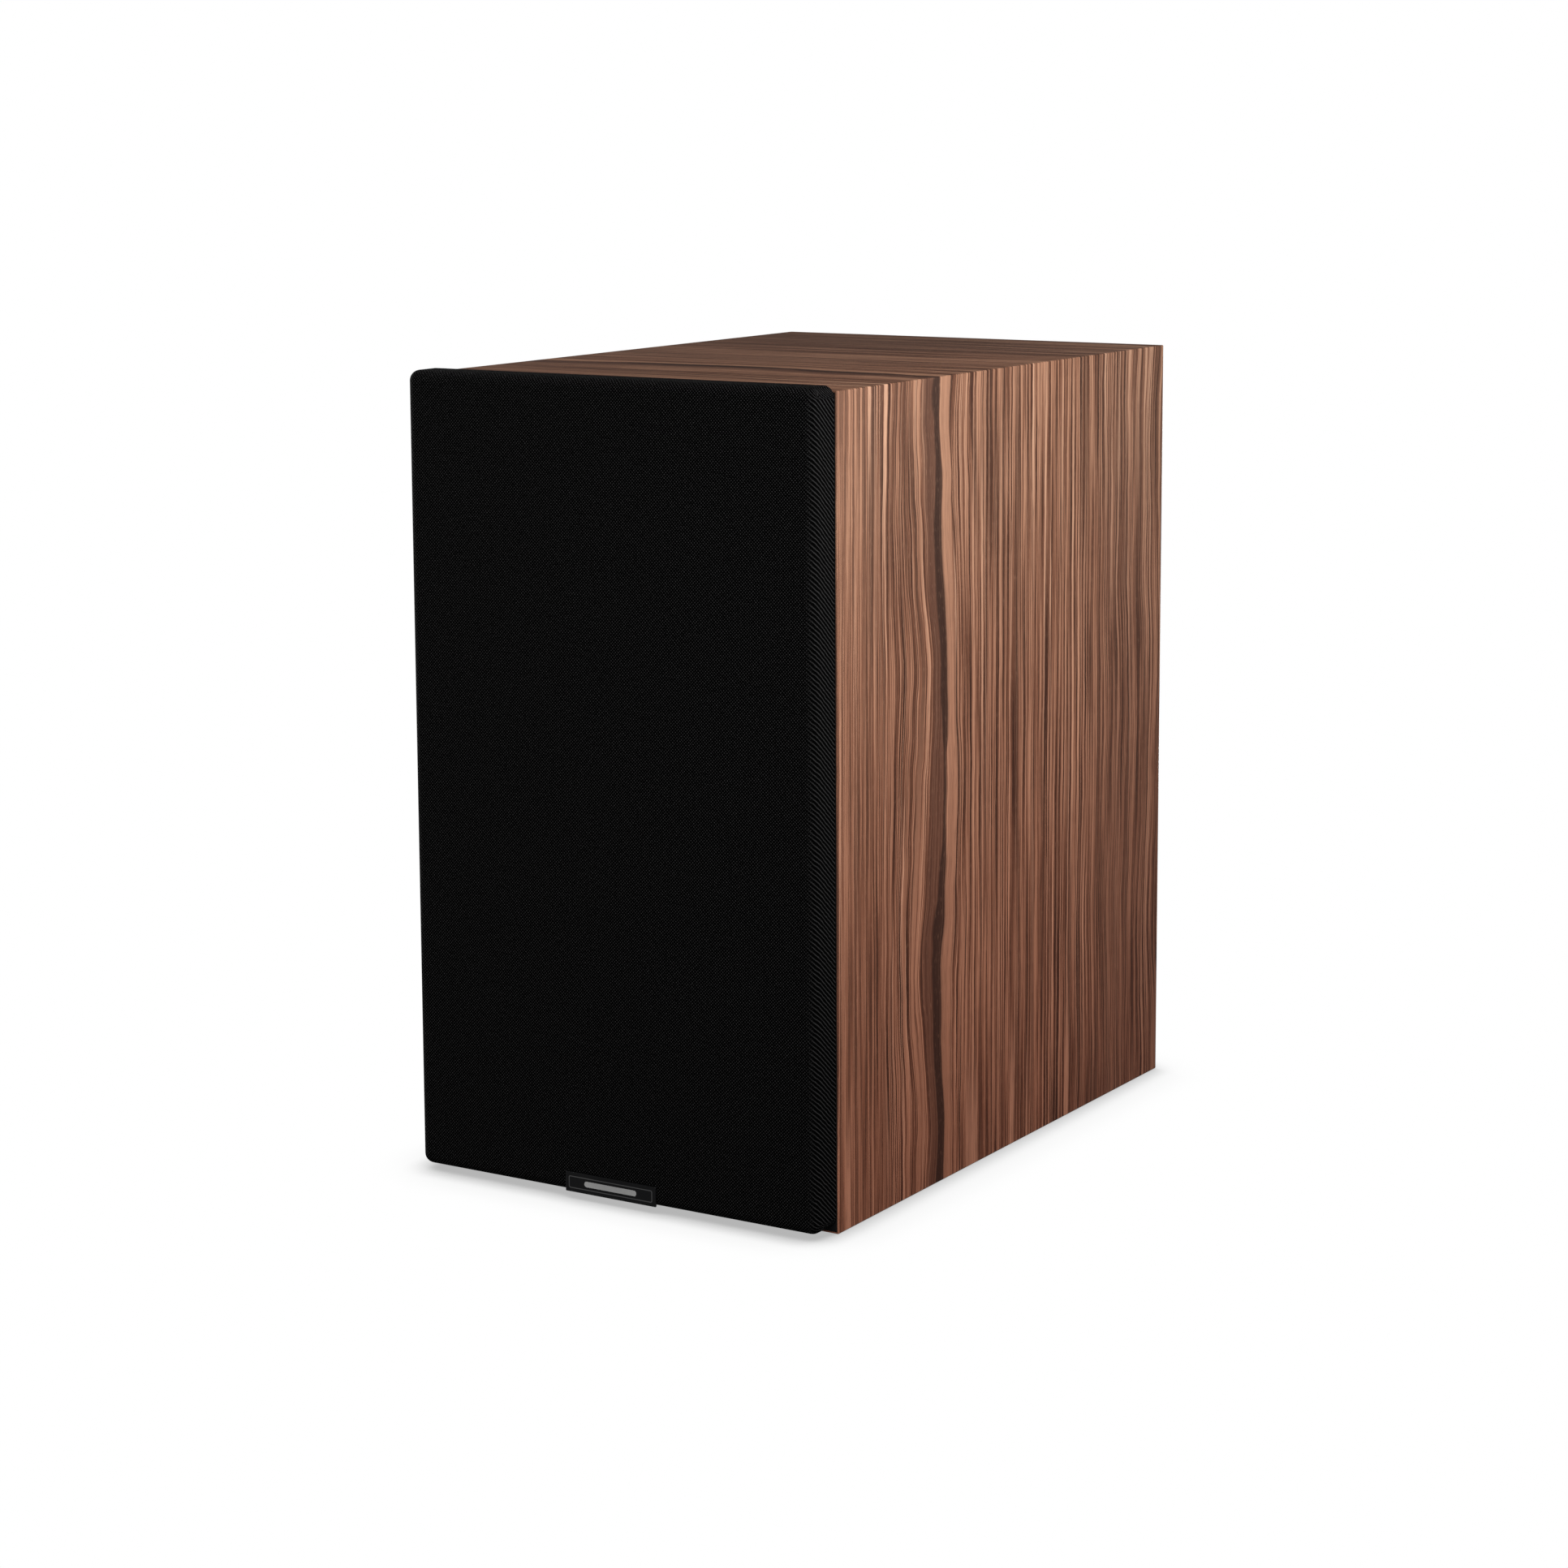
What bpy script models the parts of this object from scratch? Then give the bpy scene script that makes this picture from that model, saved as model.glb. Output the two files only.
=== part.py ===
"""Two-way bookshelf speaker: a mitred cabinet, a pull-off cloth grille, a woofer, a dome
tweeter, a rear port, a recessed terminal cup with two binding posts, and the crossover.

Metres, +Z up. The origin is the middle of the cabinet's underside. The front faces -Y
and +X is to the right of someone who looks at the front.
"""
import math

import bmesh
import bpy
from mathutils import Matrix, Vector

# ---------------------------------------------------------------- driving dimensions
GAP = 0.0003                 # clearance between pieces that touch
MERGE = 0.00001              # merging distance of the modifiers
OVERSHOOT = 0.010            # how far a cutter stands out of what it cuts
THROUGH = 0.030              # reach of a cutter that goes through a thin piece

CABINET_WIDTH = 0.200
CABINET_HEIGHT = 0.340
CABINET_DEPTH = 0.290
WALL = 0.015                 # side, top and bottom panels
BAFFLE_THICKNESS = 0.018
BACK_THICKNESS = 0.015
BAFFLE_SKIN = 0.003          # wood left under the screws' pilot holes
BRACE_THICKNESS = 0.012
BRACE_DROP = 0.134           # middle of the brace below the top
BRACE_WINDOW_RADIUS = 0.02
BRACE_RAIL = 0.028           # width of the brace's rails around its window

CLOTH = 0.0010               # thickness of the grille's cloth
GRILLE_SIDE_INSET = 0.0010   # the grille is this much narrower than the cabinet, each side
GRILLE_BOTTOM = 0.0025       # lower edge of the grille above the underside
GRILLE_TOP_PROUD = 0.0020    # the grille stands this much above the cabinet's top
GRILLE_FRAME_THICKNESS = 0.0125
GRILLE_EDGE_RADIUS = 0.0045
GRILLE_SIDE_RAIL = 0.018
GRILLE_END_RAIL = 0.021
GRILLE_CROSS_RAIL = 0.012
CROSS_RAIL_DROP = 0.1415     # middle of the cross rail below the cabinet's top
GRILLE_WINDOW_RADIUS = 0.030
CLOTH_LIP = 0.010            # cloth folded on to the back of the frame
BADGE_WIDTH = 0.045
BADGE_HEIGHT = 0.0085
BADGE_THICKNESS = 0.0010
BADGE_LIFT = 0.0006          # lower edge of the badge above the grille's lower edge

HOLDING_MAGNET_RADIUS = 0.005
HOLDING_MAGNET_THICKNESS = 0.003
HOLDING_MAGNET_INSET = 0.0095   # from the baffle's edges

WOOFER_HEIGHT = 0.112        # woofer axis above the underside
WOOFER_RADIUS = 0.079        # outside of the basket's flange
WOOFER_FLANGE_WIDTH = 0.0155
CUTOUT_CLEARANCE = 0.001     # from the basket's wall to the hole in the baffle
WOOFER_SCREWS = 4
WOOFER_SCREW_INSET = 0.0055  # from the flange's edge
WOOFER_SCREW_LENGTH = 0.014
GASKET_THICKNESS = 0.0010
FLANGE_THICKNESS = 0.0021
TRIM_THICKNESS = 0.0011
BASKET_WALL = 0.0025
BASKET_FOOT_RADIUS = 0.050
BASKET_FOOT_HEIGHT = 0.006
BASKET_BORE = 0.022
BASKET_DEPTH = 0.0515
BASKET_WINDOWS = 6
BASKET_WINDOW_WIDTH = 0.038
BASKET_WINDOW_INSET = 0.005  # how far a window's cutter reaches inside the foot
BASKET_BAND = 0.004          # metal left above and below the windows
SURROUND_THICKNESS = 0.0008
SURROUND_LIP = 0.0034         # glued on to the flange, inside the trim ring
ROLL_WIDTH = 0.009           # width of the surround's roll
CONE_LIP = 0.0025            # flat edge of the cone under the surround
CONE_NECK = 0.0136           # radius of the hole in the cone at the voice coil
CONE_DEPTH = 0.024
CONE_THICKNESS = 0.0011
CONE_FLARE = 1.25
CONE_STEPS = 5
DUST_CAP_RADIUS = 0.0185
DUST_CAP_RISE = 0.0065
COIL_RADIUS = 0.0133         # outside of the voice coil
COIL_WALL = 0.0012
COIL_LENGTH = 0.035
COIL_CLEARANCE = 0.0004      # from the coil to the pole and to the top plate
SPIDER_DEPTH = 0.0375        # from the baffle's front to the spider's ledge
SPIDER_LEDGE_WIDTH = 0.0065
SPIDER_THICKNESS = 0.0007
SPIDER_WAVES = 3
SPIDER_WAVE_HEIGHT = 0.0012
MOTOR_RADIUS = 0.045
TOP_PLATE_THICKNESS = 0.005
WOOFER_MAGNET_THICKNESS = 0.015
WOOFER_MAGNET_BORE = 0.024
BACK_PLATE_THICKNESS = 0.005
POLE_VENT = 0.004

TWEETER_DROP = 0.082         # tweeter axis below the cabinet's top
TWEETER_RADIUS = 0.052
TWEETER_FLANGE_WIDTH = 0.0105
FACEPLATE_THICKNESS = 0.0037
WAVEGUIDE_BORDER = 0.009     # flat border round the waveguide's mouth
WAVEGUIDE_THROAT = 0.0165
WAVEGUIDE_DEPTH = 0.0095
WAVEGUIDE_CURVE = 1.8
WAVEGUIDE_STEPS = 5
FACEPLATE_DEPTH = 0.0125     # depth of the boss behind the waveguide
BOSS_CLEARANCE = 0.0015
DOME_RADIUS = 0.0126
DOME_RISE = 0.0065
DOME_THICKNESS = 0.0006
DOME_FORMER = 0.005          # length of the former below the dome
FORMER_CLEARANCE = 0.0026     # below the former, in the motor's slot
TWEETER_LIP = 0.0015         # glued under the faceplate
GUARD_CLEARANCE = 0.0011     # from the dome's top to the guard
GUARD_STEP = 0.0010          # from the throat to the guard's ring
GUARD_RING = 0.0020
GUARD_ARM = 0.0012
GUARD_DISC = 0.0055
TWEETER_MOTOR_RADIUS = 0.036
TWEETER_MOTOR_THICKNESS = 0.018
POLE_SINK = 0.0013           # the pole ends this much below the motor's face
TWEETER_VENT = 0.003
CHAMBER_RADIUS = 0.034
CHAMBER_DEPTH = 0.0167
CHAMBER_WALL = 0.002
TWEETER_SCREWS = 3
TWEETER_SCREW_INSET = 0.0045  # from the faceplate's edge
TWEETER_SCREW_LENGTH = 0.014

PORT_DROP = 0.078            # port axis below the cabinet's top
PORT_BORE = 0.025
PORT_WALL = 0.0025
PORT_LENGTH = 0.100
PORT_FLANGE_WIDTH = 0.013
PORT_FLANGE_THICKNESS = 0.003
PORT_FLARE = 0.0070          # radius of the rounding at the mouth
PORT_FLARE_STEPS = 5
ROLL_STEPS = 5               # sides of the surrounds' rolls
CAP_STEPS = 5                # sides of the domes from top to rim

TERMINAL_HEIGHT = 0.085      # middle of the terminal cup above the underside
TERMINAL_FLANGE_WIDTH = 0.015
TERMINAL_RECESS = (0.070, 0.050)
TERMINAL_FLANGE_THICKNESS = 0.0027
TERMINAL_DEPTH = 0.028
TERMINAL_WALL = 0.002
TERMINAL_FLOOR = 0.003
TERMINAL_CORNER = 0.006       # corner radius of the recess
TERMINAL_FLANGE_CORNER = 0.005
TERMINAL_SCREW_INSET = 0.006
TERMINAL_SCREW_LENGTH = 0.012
POST_SPACING = 0.036
POST_RADIUS = 0.0030
POST_COLLAR_RADIUS = 0.0055
POST_COLLAR_HEIGHT = 0.0035
POST_LENGTH = 0.0210         # from the cup's floor to the post's end
BANANA_BORE = 0.0020
BANANA_FLOOR = 0.0095        # bottom of the socket above the cup's floor
WIRE_HOLE = 0.0012
CLAMP_THICKNESS = 0.0012
CLAMP_RADIUS = 0.0060
NUT_RADIUS = 0.0078
NUT_LENGTH = 0.0160
NUT_FLUTES = 12
NUT_FLUTE_DEPTH = 0.0007

BOARD_SIZE = (0.096, 0.074)
BOARD_THICKNESS = 0.0016
BOARD_STAND_OFF = 0.004
BASS_COIL_RADIUS = 0.019
BASS_COIL_BORE = 0.008
BASS_COIL_THICKNESS = 0.016
BASS_COIL_LIFT = 0.010
CAPACITOR_RADIUS = 0.009
CAPACITOR_LENGTH = 0.034
LEAD_RADIUS = 0.0015
LEAD_REACH = 0.009           # straight end of a lead at a driver
LEAD_INSET = 0.010           # from the board's edge to a lead
LEAD_CLIMB = 0.018           # from the tweeter lead's joint up to its first bend
LEAD_BENDS = (0.045, 0.085)  # tweeter lead's bends behind the front of the cabinet
WOOFER_LEAD_BEND = 0.075     # woofer lead's last bend behind the front
LEAD_STEPS = 3               # points of a lead between two points of its route
WADDING_THICKNESS = 0.012
WADDING_MARGIN = 0.010
WADDING_FRONT = -0.055

LARGE_ROUND = 32             # sides of the large, middling and small turned pieces
MIDDLE_ROUND = 24
SMALL_ROUND = 16
SCREW_ROUND = 8              # sides of the screws and their holes

SCREW_HEAD_RADIUS = 0.0034
SCREW_HEAD_HEIGHT = 0.0018
SCREW_SHANK_RADIUS = 0.0017
SCREW_SLOT = 0.0008

# ---------------------------------------------------------------- finishes
# colour, roughness, metallic
WALNUT = ((0.235, 0.115, 0.065), 0.45, 0.0)
BAFFLE_BLACK = ((0.020, 0.018, 0.017), 0.60, 0.0)
FIBREBOARD = ((0.300, 0.205, 0.125), 0.85, 0.0)
CLOTH_BLACK = ((0.016, 0.015, 0.015), 0.95, 0.0)
FRAME_BLACK = ((0.025, 0.025, 0.026), 0.70, 0.0)
GLOSS_BLACK = ((0.010, 0.010, 0.011), 0.20, 0.0)
PLASTIC_BLACK = ((0.022, 0.022, 0.024), 0.45, 0.0)
RUBBER_BLACK = ((0.015, 0.015, 0.016), 0.75, 0.0)
PULP_GREY = ((0.060, 0.058, 0.056), 0.80, 0.0)
SILK_BLACK = ((0.020, 0.019, 0.019), 0.65, 0.0)
SPIDER_CLOTH = ((0.420, 0.270, 0.090), 0.85, 0.0)
CAST_METAL = ((0.180, 0.180, 0.185), 0.45, 0.8)
STEEL = ((0.560, 0.560, 0.570), 0.30, 1.0)
BLACK_STEEL = ((0.060, 0.060, 0.064), 0.40, 0.9)
FERRITE = ((0.045, 0.043, 0.043), 0.60, 0.0)
GOLD_PLATE = ((0.830, 0.610, 0.260), 0.22, 1.0)
COPPER = ((0.700, 0.310, 0.160), 0.35, 1.0)
RED_PLASTIC = ((0.450, 0.018, 0.016), 0.30, 0.0)
BOARD_GREEN = ((0.030, 0.110, 0.055), 0.50, 0.0)
CAPACITOR_FILM = ((0.420, 0.300, 0.040), 0.35, 0.0)
LEAD_GREY = ((0.120, 0.120, 0.125), 0.50, 0.0)
WADDING_WHITE = ((0.700, 0.690, 0.670), 0.95, 0.0)

# ---------------------------------------------------------------- places worked out
HALF_WIDTH = CABINET_WIDTH / 2
FRONT = -CABINET_DEPTH / 2               # plane of the baffle's front
BACK = CABINET_DEPTH / 2                 # plane of the back
BRACE_HEIGHT = CABINET_HEIGHT - BRACE_DROP
CROSS_RAIL_HEIGHT = CABINET_HEIGHT - CROSS_RAIL_DROP
TWEETER_HEIGHT = CABINET_HEIGHT - TWEETER_DROP
PORT_HEIGHT = CABINET_HEIGHT - PORT_DROP
INNER_HALF_WIDTH = HALF_WIDTH - WALL
INNER_BOTTOM = WALL
INNER_TOP = CABINET_HEIGHT - WALL
BAFFLE_HALF_WIDTH = INNER_HALF_WIDTH - GAP
BAFFLE_BOTTOM = INNER_BOTTOM + GAP
BAFFLE_TOP = INNER_TOP - GAP
BAFFLE_REAR = FRONT + BAFFLE_THICKNESS
BACK_INNER = BACK - BACK_THICKNESS
MAGNET_X = BAFFLE_HALF_WIDTH - HOLDING_MAGNET_INSET
MAGNET_LOW = BAFFLE_BOTTOM + HOLDING_MAGNET_INSET
MAGNET_HIGH = BAFFLE_TOP - HOLDING_MAGNET_INSET
MAGNET_PLACES = [(x, z) for z in (MAGNET_LOW, MAGNET_HIGH) for x in (-MAGNET_X, MAGNET_X)]

CLOTH_REAR = FRONT - GAP
GRILLE_FRAME_REAR = CLOTH_REAR - CLOTH - GAP
GRILLE_FRONT = GRILLE_FRAME_REAR - GRILLE_FRAME_THICKNESS - GAP - CLOTH
BASKET_RIM = WOOFER_RADIUS - WOOFER_FLANGE_WIDTH    # inside of the basket at its flange
WOOFER_CUTOUT = BASKET_RIM + BASKET_WALL + CUTOUT_CLEARANCE
WOOFER_SCREW_CIRCLE = WOOFER_RADIUS - WOOFER_SCREW_INSET
CONE_RIM = BASKET_RIM - ROLL_WIDTH       # outside of the cone, under the surround
TWEETER_CUTOUT = TWEETER_RADIUS - TWEETER_FLANGE_WIDTH
TWEETER_SCREW_CIRCLE = TWEETER_RADIUS - TWEETER_SCREW_INSET
WAVEGUIDE_MOUTH = TWEETER_RADIUS - WAVEGUIDE_BORDER
PORT_FLANGE_RADIUS = PORT_BORE + PORT_FLANGE_WIDTH
WOOFER_STACK = GASKET_THICKNESS + FLANGE_THICKNESS + TRIM_THICKNESS + 3 * GAP
TERMINAL_FLANGE = (TERMINAL_RECESS[0] + 2 * TERMINAL_FLANGE_WIDTH,
                   TERMINAL_RECESS[1] + 2 * TERMINAL_FLANGE_WIDTH)
TERMINAL_OUTSIDE = (TERMINAL_RECESS[0] + 2 * TERMINAL_WALL, TERMINAL_RECESS[1] + 2 * TERMINAL_WALL)
TERMINAL_SCREW_PLACES = [(x * (TERMINAL_FLANGE[0] / 2 - TERMINAL_SCREW_INSET),
                          y * (TERMINAL_FLANGE[1] / 2 - TERMINAL_SCREW_INSET))
                         for x in (-1, 1) for y in (-1, 1)]

FORWARD = (math.pi / 2, 0, 0)            # turns local +Z to the front, -Y
BACKWARD = (-math.pi / 2, 0, 0)          # turns local +Z to the back, +Y


# ---------------------------------------------------------------- modelling helpers
def clear_scene():
    """Remove what the scene holds and make the two collections."""
    for obj in list(bpy.data.objects):
        bpy.data.objects.remove(obj, do_unlink=True)
    collections = []
    for name in ("bookshelf_speaker", "cutters"):
        collection = bpy.data.collections.new(name)
        bpy.context.scene.collection.children.link(collection)
        collections.append(collection)
    return collections


PARTS, CUTTERS = clear_scene()


def finish(obj, look):
    """Give a part its own material."""
    colour, roughness, metallic = look
    material = bpy.data.materials.new(obj.name)
    material.use_nodes = True
    shader = material.node_tree.nodes["Principled BSDF"]
    shader.inputs["Base Color"].default_value = (*colour, 1.0)
    shader.inputs["Roughness"].default_value = roughness
    shader.inputs["Metallic"].default_value = metallic
    material.diffuse_color = (*colour, 1.0)
    obj.material_slots[0].link = "OBJECT"
    obj.material_slots[0].material = material


def add(name, data, look=None, parent=None, place=(0, 0, 0), turn=(0, 0, 0)):
    """Link an object: a part when it has a look, or else a cutter."""
    obj = bpy.data.objects.new(name, data)
    obj.parent = parent
    obj.location = place
    obj.rotation_euler = turn
    if look is None:
        CUTTERS.objects.link(obj)
        obj.hide_render = True
        obj.display_type = "WIRE"
    else:
        PARTS.objects.link(obj)
        if not data.materials:
            data.materials.append(None)
        finish(obj, look)
    return obj


def empty(name, place, turn=(0, 0, 0)):
    """An axis that pieces are parented to."""
    obj = bpy.data.objects.new(name, None)
    obj.location = place
    obj.rotation_euler = turn
    obj.empty_display_size = 0.02
    PARTS.objects.link(obj)
    return obj


def mesh_from(bm, name):
    """Turn a bmesh into a mesh."""
    mesh = bpy.data.meshes.new(name)
    bm.to_mesh(mesh)
    bm.free()
    return mesh


def evaluated_mesh(obj, name):
    """The mesh that an object's modifiers or curve settings give, welded; removes the object."""
    bpy.context.view_layer.update()
    graph = bpy.context.evaluated_depsgraph_get()
    mesh = bpy.data.meshes.new_from_object(obj.evaluated_get(graph))
    mesh.name = name
    bm = bmesh.new()
    bm.from_mesh(mesh)
    bmesh.ops.remove_doubles(bm, verts=bm.verts, dist=MERGE)
    bmesh.ops.recalc_face_normals(bm, faces=bm.faces)
    bm.to_mesh(mesh)
    bm.free()
    bpy.data.objects.remove(obj, do_unlink=True)
    return mesh


def cut(obj, *cutters):
    """Take the cutters out of a part."""
    for cutter in cutters:
        boolean = obj.modifiers.new("Cut " + cutter.name, "BOOLEAN")
        boolean.operation = "DIFFERENCE"
        boolean.solver = "EXACT"
        boolean.object = cutter


def join(obj, *others):
    """Fuse hidden shapes on to a part."""
    for other in others:
        boolean = obj.modifiers.new("Join " + other.name, "BOOLEAN")
        boolean.operation = "UNION"
        boolean.solver = "EXACT"
        boolean.object = other


def box(name, low, high, look=None, parent=None, round_edge=None, radius=0.0, segments=3):
    """A box between two corners; round_edge says which edges a Bevel rounds."""
    low = Vector(low)
    high = Vector(high)
    middle = (low + high) / 2
    bm = bmesh.new()
    bmesh.ops.create_cube(bm, size=1.0)
    bmesh.ops.scale(bm, vec=high - low, verts=bm.verts)
    if round_edge:
        weight = bm.edges.layers.float.new("bevel_weight_edge")
        for edge in bm.edges:
            ends = [vert.co + middle for vert in edge.verts]
            edge[weight] = 1.0 if round_edge(*ends) else 0.0
    obj = add(name, mesh_from(bm, name), look, parent, middle)
    if round_edge:
        bevel = obj.modifiers.new("Rounding", "BEVEL")
        bevel.limit_method = "WEIGHT"
        bevel.width = radius
        bevel.segments = segments
    return obj


def cylinder_mesh(name, places, radius, low, high, sides):
    """Upright cylinders from low to high at (x, y) places, in one mesh."""
    bm = bmesh.new()
    for x, y in places:
        made = bmesh.ops.create_cone(bm, cap_ends=True, segments=sides, radius1=radius,
                                     radius2=radius, depth=high - low)
        bmesh.ops.translate(bm, vec=(x, y, (low + high) / 2), verts=made["verts"])
    return mesh_from(bm, name)


def holes(name, places, radius, low, high, sides=SCREW_ROUND, **placing):
    """One cutter with a cylinder for each hole."""
    return add(name, cylinder_mesh(name, places, radius, low, high, sides), **placing)


def turned(name, profile, steps, look=None, parent=None, place=(0, 0, 0), turn=(0, 0, 0)):
    """A turned piece about local Z. The (radius, height) points run down the outer side."""
    bm = bmesh.new()
    points = [bm.verts.new((radius, 0, height)) for radius, height in profile]
    for start, end in zip(points, points[1:]):
        bm.edges.new((start, end))
    if profile[0][0] > 0:
        bm.edges.new((points[-1], points[0]))
    obj = add(name, mesh_from(bm, name), look, parent, place, turn)
    screw = obj.modifiers.new("Turn", "SCREW")
    screw.steps = steps
    screw.render_steps = steps
    screw.use_merge_vertices = True
    screw.merge_threshold = MERGE
    screw.use_smooth_shade = True
    return obj


def flat_solid(name, outline, low, high, look=None, parent=None, place=(0, 0, 0), turn=(0, 0, 0)):
    """A flat outline in local XY, extruded from low to high along local Z."""
    curve = bpy.data.curves.new(name, "CURVE")
    curve.dimensions = "2D"
    curve.fill_mode = "BOTH"
    curve.extrude = (high - low) / 2
    spline = curve.splines.new("POLY")
    spline.points.add(len(outline) - 1)
    for point, (x, y) in zip(spline.points, outline):
        point.co = (x, y, 0, 1)
    spline.use_cyclic_u = True
    guide = add(name + "_outline", curve)
    mesh = evaluated_mesh(guide, name)
    for vert in mesh.vertices:
        vert.co.z += (low + high) / 2
    return add(name, mesh, look, parent, place, turn)


def rounded_rectangle(left, right, bottom, top, radius, steps=4):
    """Corner points of a rectangle with round corners, anticlockwise."""
    points = []
    corners = ((right, top, 0), (left, top, 1), (left, bottom, 2), (right, bottom, 3))
    for x, y, quarter in corners:
        centre_x = x - math.copysign(radius, x - (left + right) / 2)
        centre_y = y - math.copysign(radius, y - (bottom + top) / 2)
        for step in range(steps + 1):
            angle = math.pi / 2 * (quarter + step / steps)
            points.append((centre_x + radius * math.cos(angle), centre_y + radius * math.sin(angle)))
    return points


def ring_places(count, radius, first=0.0):
    """Evenly spaced (x, y) places on a circle."""
    angles = [first + 2 * math.pi * index / count for index in range(count)]
    return [(radius * math.cos(angle), radius * math.sin(angle)) for angle in angles]


def tube(name, points, radius, look, resolution):
    """A lead: a POLY spline read off a smooth curve through the route's own points."""
    curve = bpy.data.curves.new(name, "CURVE")
    curve.dimensions = "3D"
    curve.bevel_depth = radius
    curve.bevel_resolution = 2
    curve.use_fill_caps = True
    smooth = smooth_route(points, resolution)
    spline = curve.splines.new("POLY")
    spline.points.add(len(smooth) - 1)
    for point, place in zip(spline.points, smooth):
        point.co = (*place, 1)
    return add(name, curve, look)


def smooth_route(points, resolution):
    """Points along a Catmull-Rom curve through the given ones."""
    places = [Vector(point) for point in points]
    places = [2 * places[0] - places[1], *places, 2 * places[-1] - places[-2]]
    smooth = []
    for before, start, end, after in zip(places, places[1:], places[2:], places[3:]):
        for step in range(resolution):
            t = step / resolution
            smooth.append(0.5 * (2 * start + (end - before) * t
                                 + (2 * before - 5 * start + 4 * end - after) * t ** 2
                                 + (3 * start - before - 3 * end + after) * t ** 3))
    smooth.append(places[-2])
    return smooth


# ---------------------------------------------------------------- fasteners
def screw_mesh(length):
    """A pan-head screw pointing down local -Z with a cross recess; local 0 is under the head."""
    profile = [(0, SCREW_HEAD_HEIGHT), (SCREW_HEAD_RADIUS * 0.75, SCREW_HEAD_HEIGHT),
               (SCREW_HEAD_RADIUS, SCREW_HEAD_HEIGHT * 0.45), (SCREW_HEAD_RADIUS, 0),
               (SCREW_SHANK_RADIUS, 0), (SCREW_SHANK_RADIUS, -length + SCREW_SHANK_RADIUS),
               (0, -length)]
    screw = turned("screw_blank", profile, SCREW_ROUND)
    arm = SCREW_HEAD_RADIUS * 0.6
    low = SCREW_HEAD_HEIGHT / 2
    high = SCREW_HEAD_HEIGHT * 2
    for label, half_x, half_y in (("a", arm, SCREW_SLOT / 2), ("b", SCREW_SLOT / 2, arm)):
        slot = box("screw_slot_" + label, (-half_x, -half_y, low), (half_x, half_y, high))
        cut(screw, slot)
    mesh = evaluated_mesh(screw, "screw")
    for label in "ab":
        bpy.data.objects.remove(bpy.data.objects["screw_slot_" + label], do_unlink=True)
    mesh.shade_smooth()
    mesh.set_sharp_from_angle(angle=math.radians(35))
    mesh.materials.append(None)
    return mesh


def add_screws(name, places, seat, length, look, parent):
    """A screw at each place, its head on the seat plane."""
    mesh = screw_mesh(length)
    for number, (x, y) in enumerate(places, 1):
        add(f"{name}_{number}", mesh, look, parent, (x, y, seat + GAP))


# ---------------------------------------------------------------- cabinet
def wrap_panel(name, outer, inner):
    """A panel of the wrap: its outer and inner edges as (x, z) ends, extruded front to back."""
    outline = [outer[0], outer[1], inner[1], inner[0]]
    return flat_solid(name, outline, FRONT, BACK, WALNUT, turn=FORWARD)


def add_cabinet():
    """Four panels mitred at the corners, a brace, the baffle and the back."""
    mitre = GAP / math.sqrt(2)           # each panel's share of the gap, along its face
    top = CABINET_HEIGHT
    for name, side in (("left_side_panel", -1), ("right_side_panel", 1)):
        outer = side * HALF_WIDTH
        inner = side * INNER_HALF_WIDTH
        wrap_panel(name, ((outer, mitre), (outer, top - mitre)),
                   ((inner, INNER_BOTTOM + mitre), (inner, INNER_TOP - mitre)))
    for name, outer, inner in (("top_panel", top, INNER_TOP), ("bottom_panel", 0, INNER_BOTTOM)):
        half_outer = HALF_WIDTH - mitre
        half_inner = INNER_HALF_WIDTH - mitre
        wrap_panel(name, ((-half_outer, outer), (half_outer, outer)),
                   ((-half_inner, inner), (half_inner, inner)))
    add_baffle()
    add_back_panel()
    add_brace()


def add_baffle():
    """The baffle, flush between the panels, rebated for both drivers and the magnets."""
    baffle = box("front_baffle", (-BAFFLE_HALF_WIDTH, FRONT, BAFFLE_BOTTOM),
                 (BAFFLE_HALF_WIDTH, BAFFLE_REAR, BAFFLE_TOP), BAFFLE_BLACK)
    below = BAFFLE_THICKNESS + 2 * GAP
    drivers = (("woofer", WOOFER_HEIGHT, WOOFER_RADIUS, WOOFER_STACK, WOOFER_CUTOUT,
                ring_places(WOOFER_SCREWS, WOOFER_SCREW_CIRCLE, math.pi / 4)),
               ("tweeter", TWEETER_HEIGHT, TWEETER_RADIUS, FACEPLATE_THICKNESS + GAP,
                TWEETER_CUTOUT, ring_places(TWEETER_SCREWS, TWEETER_SCREW_CIRCLE, math.pi / 2)))
    for name, height, radius, rebate, opening, screws in drivers:
        placing = {"place": (0, FRONT, height), "turn": FORWARD}
        cut(baffle,
            holes(name + "_rebate", [(0, 0)], radius + GAP, -rebate, OVERSHOOT, LARGE_ROUND,
                  **placing),
            holes(name + "_hole", [(0, 0)], opening, -below, OVERSHOOT, LARGE_ROUND,
                  **placing),
            holes(name + "_pilots", screws, SCREW_SHANK_RADIUS + GAP,
                  -below + BAFFLE_SKIN, OVERSHOOT, **placing))
    cut(baffle, holes("baffle_magnet_pockets", MAGNET_PLACES, HOLDING_MAGNET_RADIUS + GAP,
                      -HOLDING_MAGNET_THICKNESS - GAP, OVERSHOOT, SMALL_ROUND,
                      place=(0, FRONT, 0), turn=FORWARD))
    disc = cylinder_mesh("magnet_disc", [(0, 0)], HOLDING_MAGNET_RADIUS,
                         -HOLDING_MAGNET_THICKNESS, 0, SMALL_ROUND)
    for number, (x, z) in enumerate(MAGNET_PLACES, 1):
        add(f"baffle_magnet_{number}", disc, STEEL, None, (x, FRONT, z), FORWARD)
        add(f"grille_magnet_{number}", disc, STEEL, None, (x, GRILLE_FRAME_REAR, z), BACKWARD)


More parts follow.
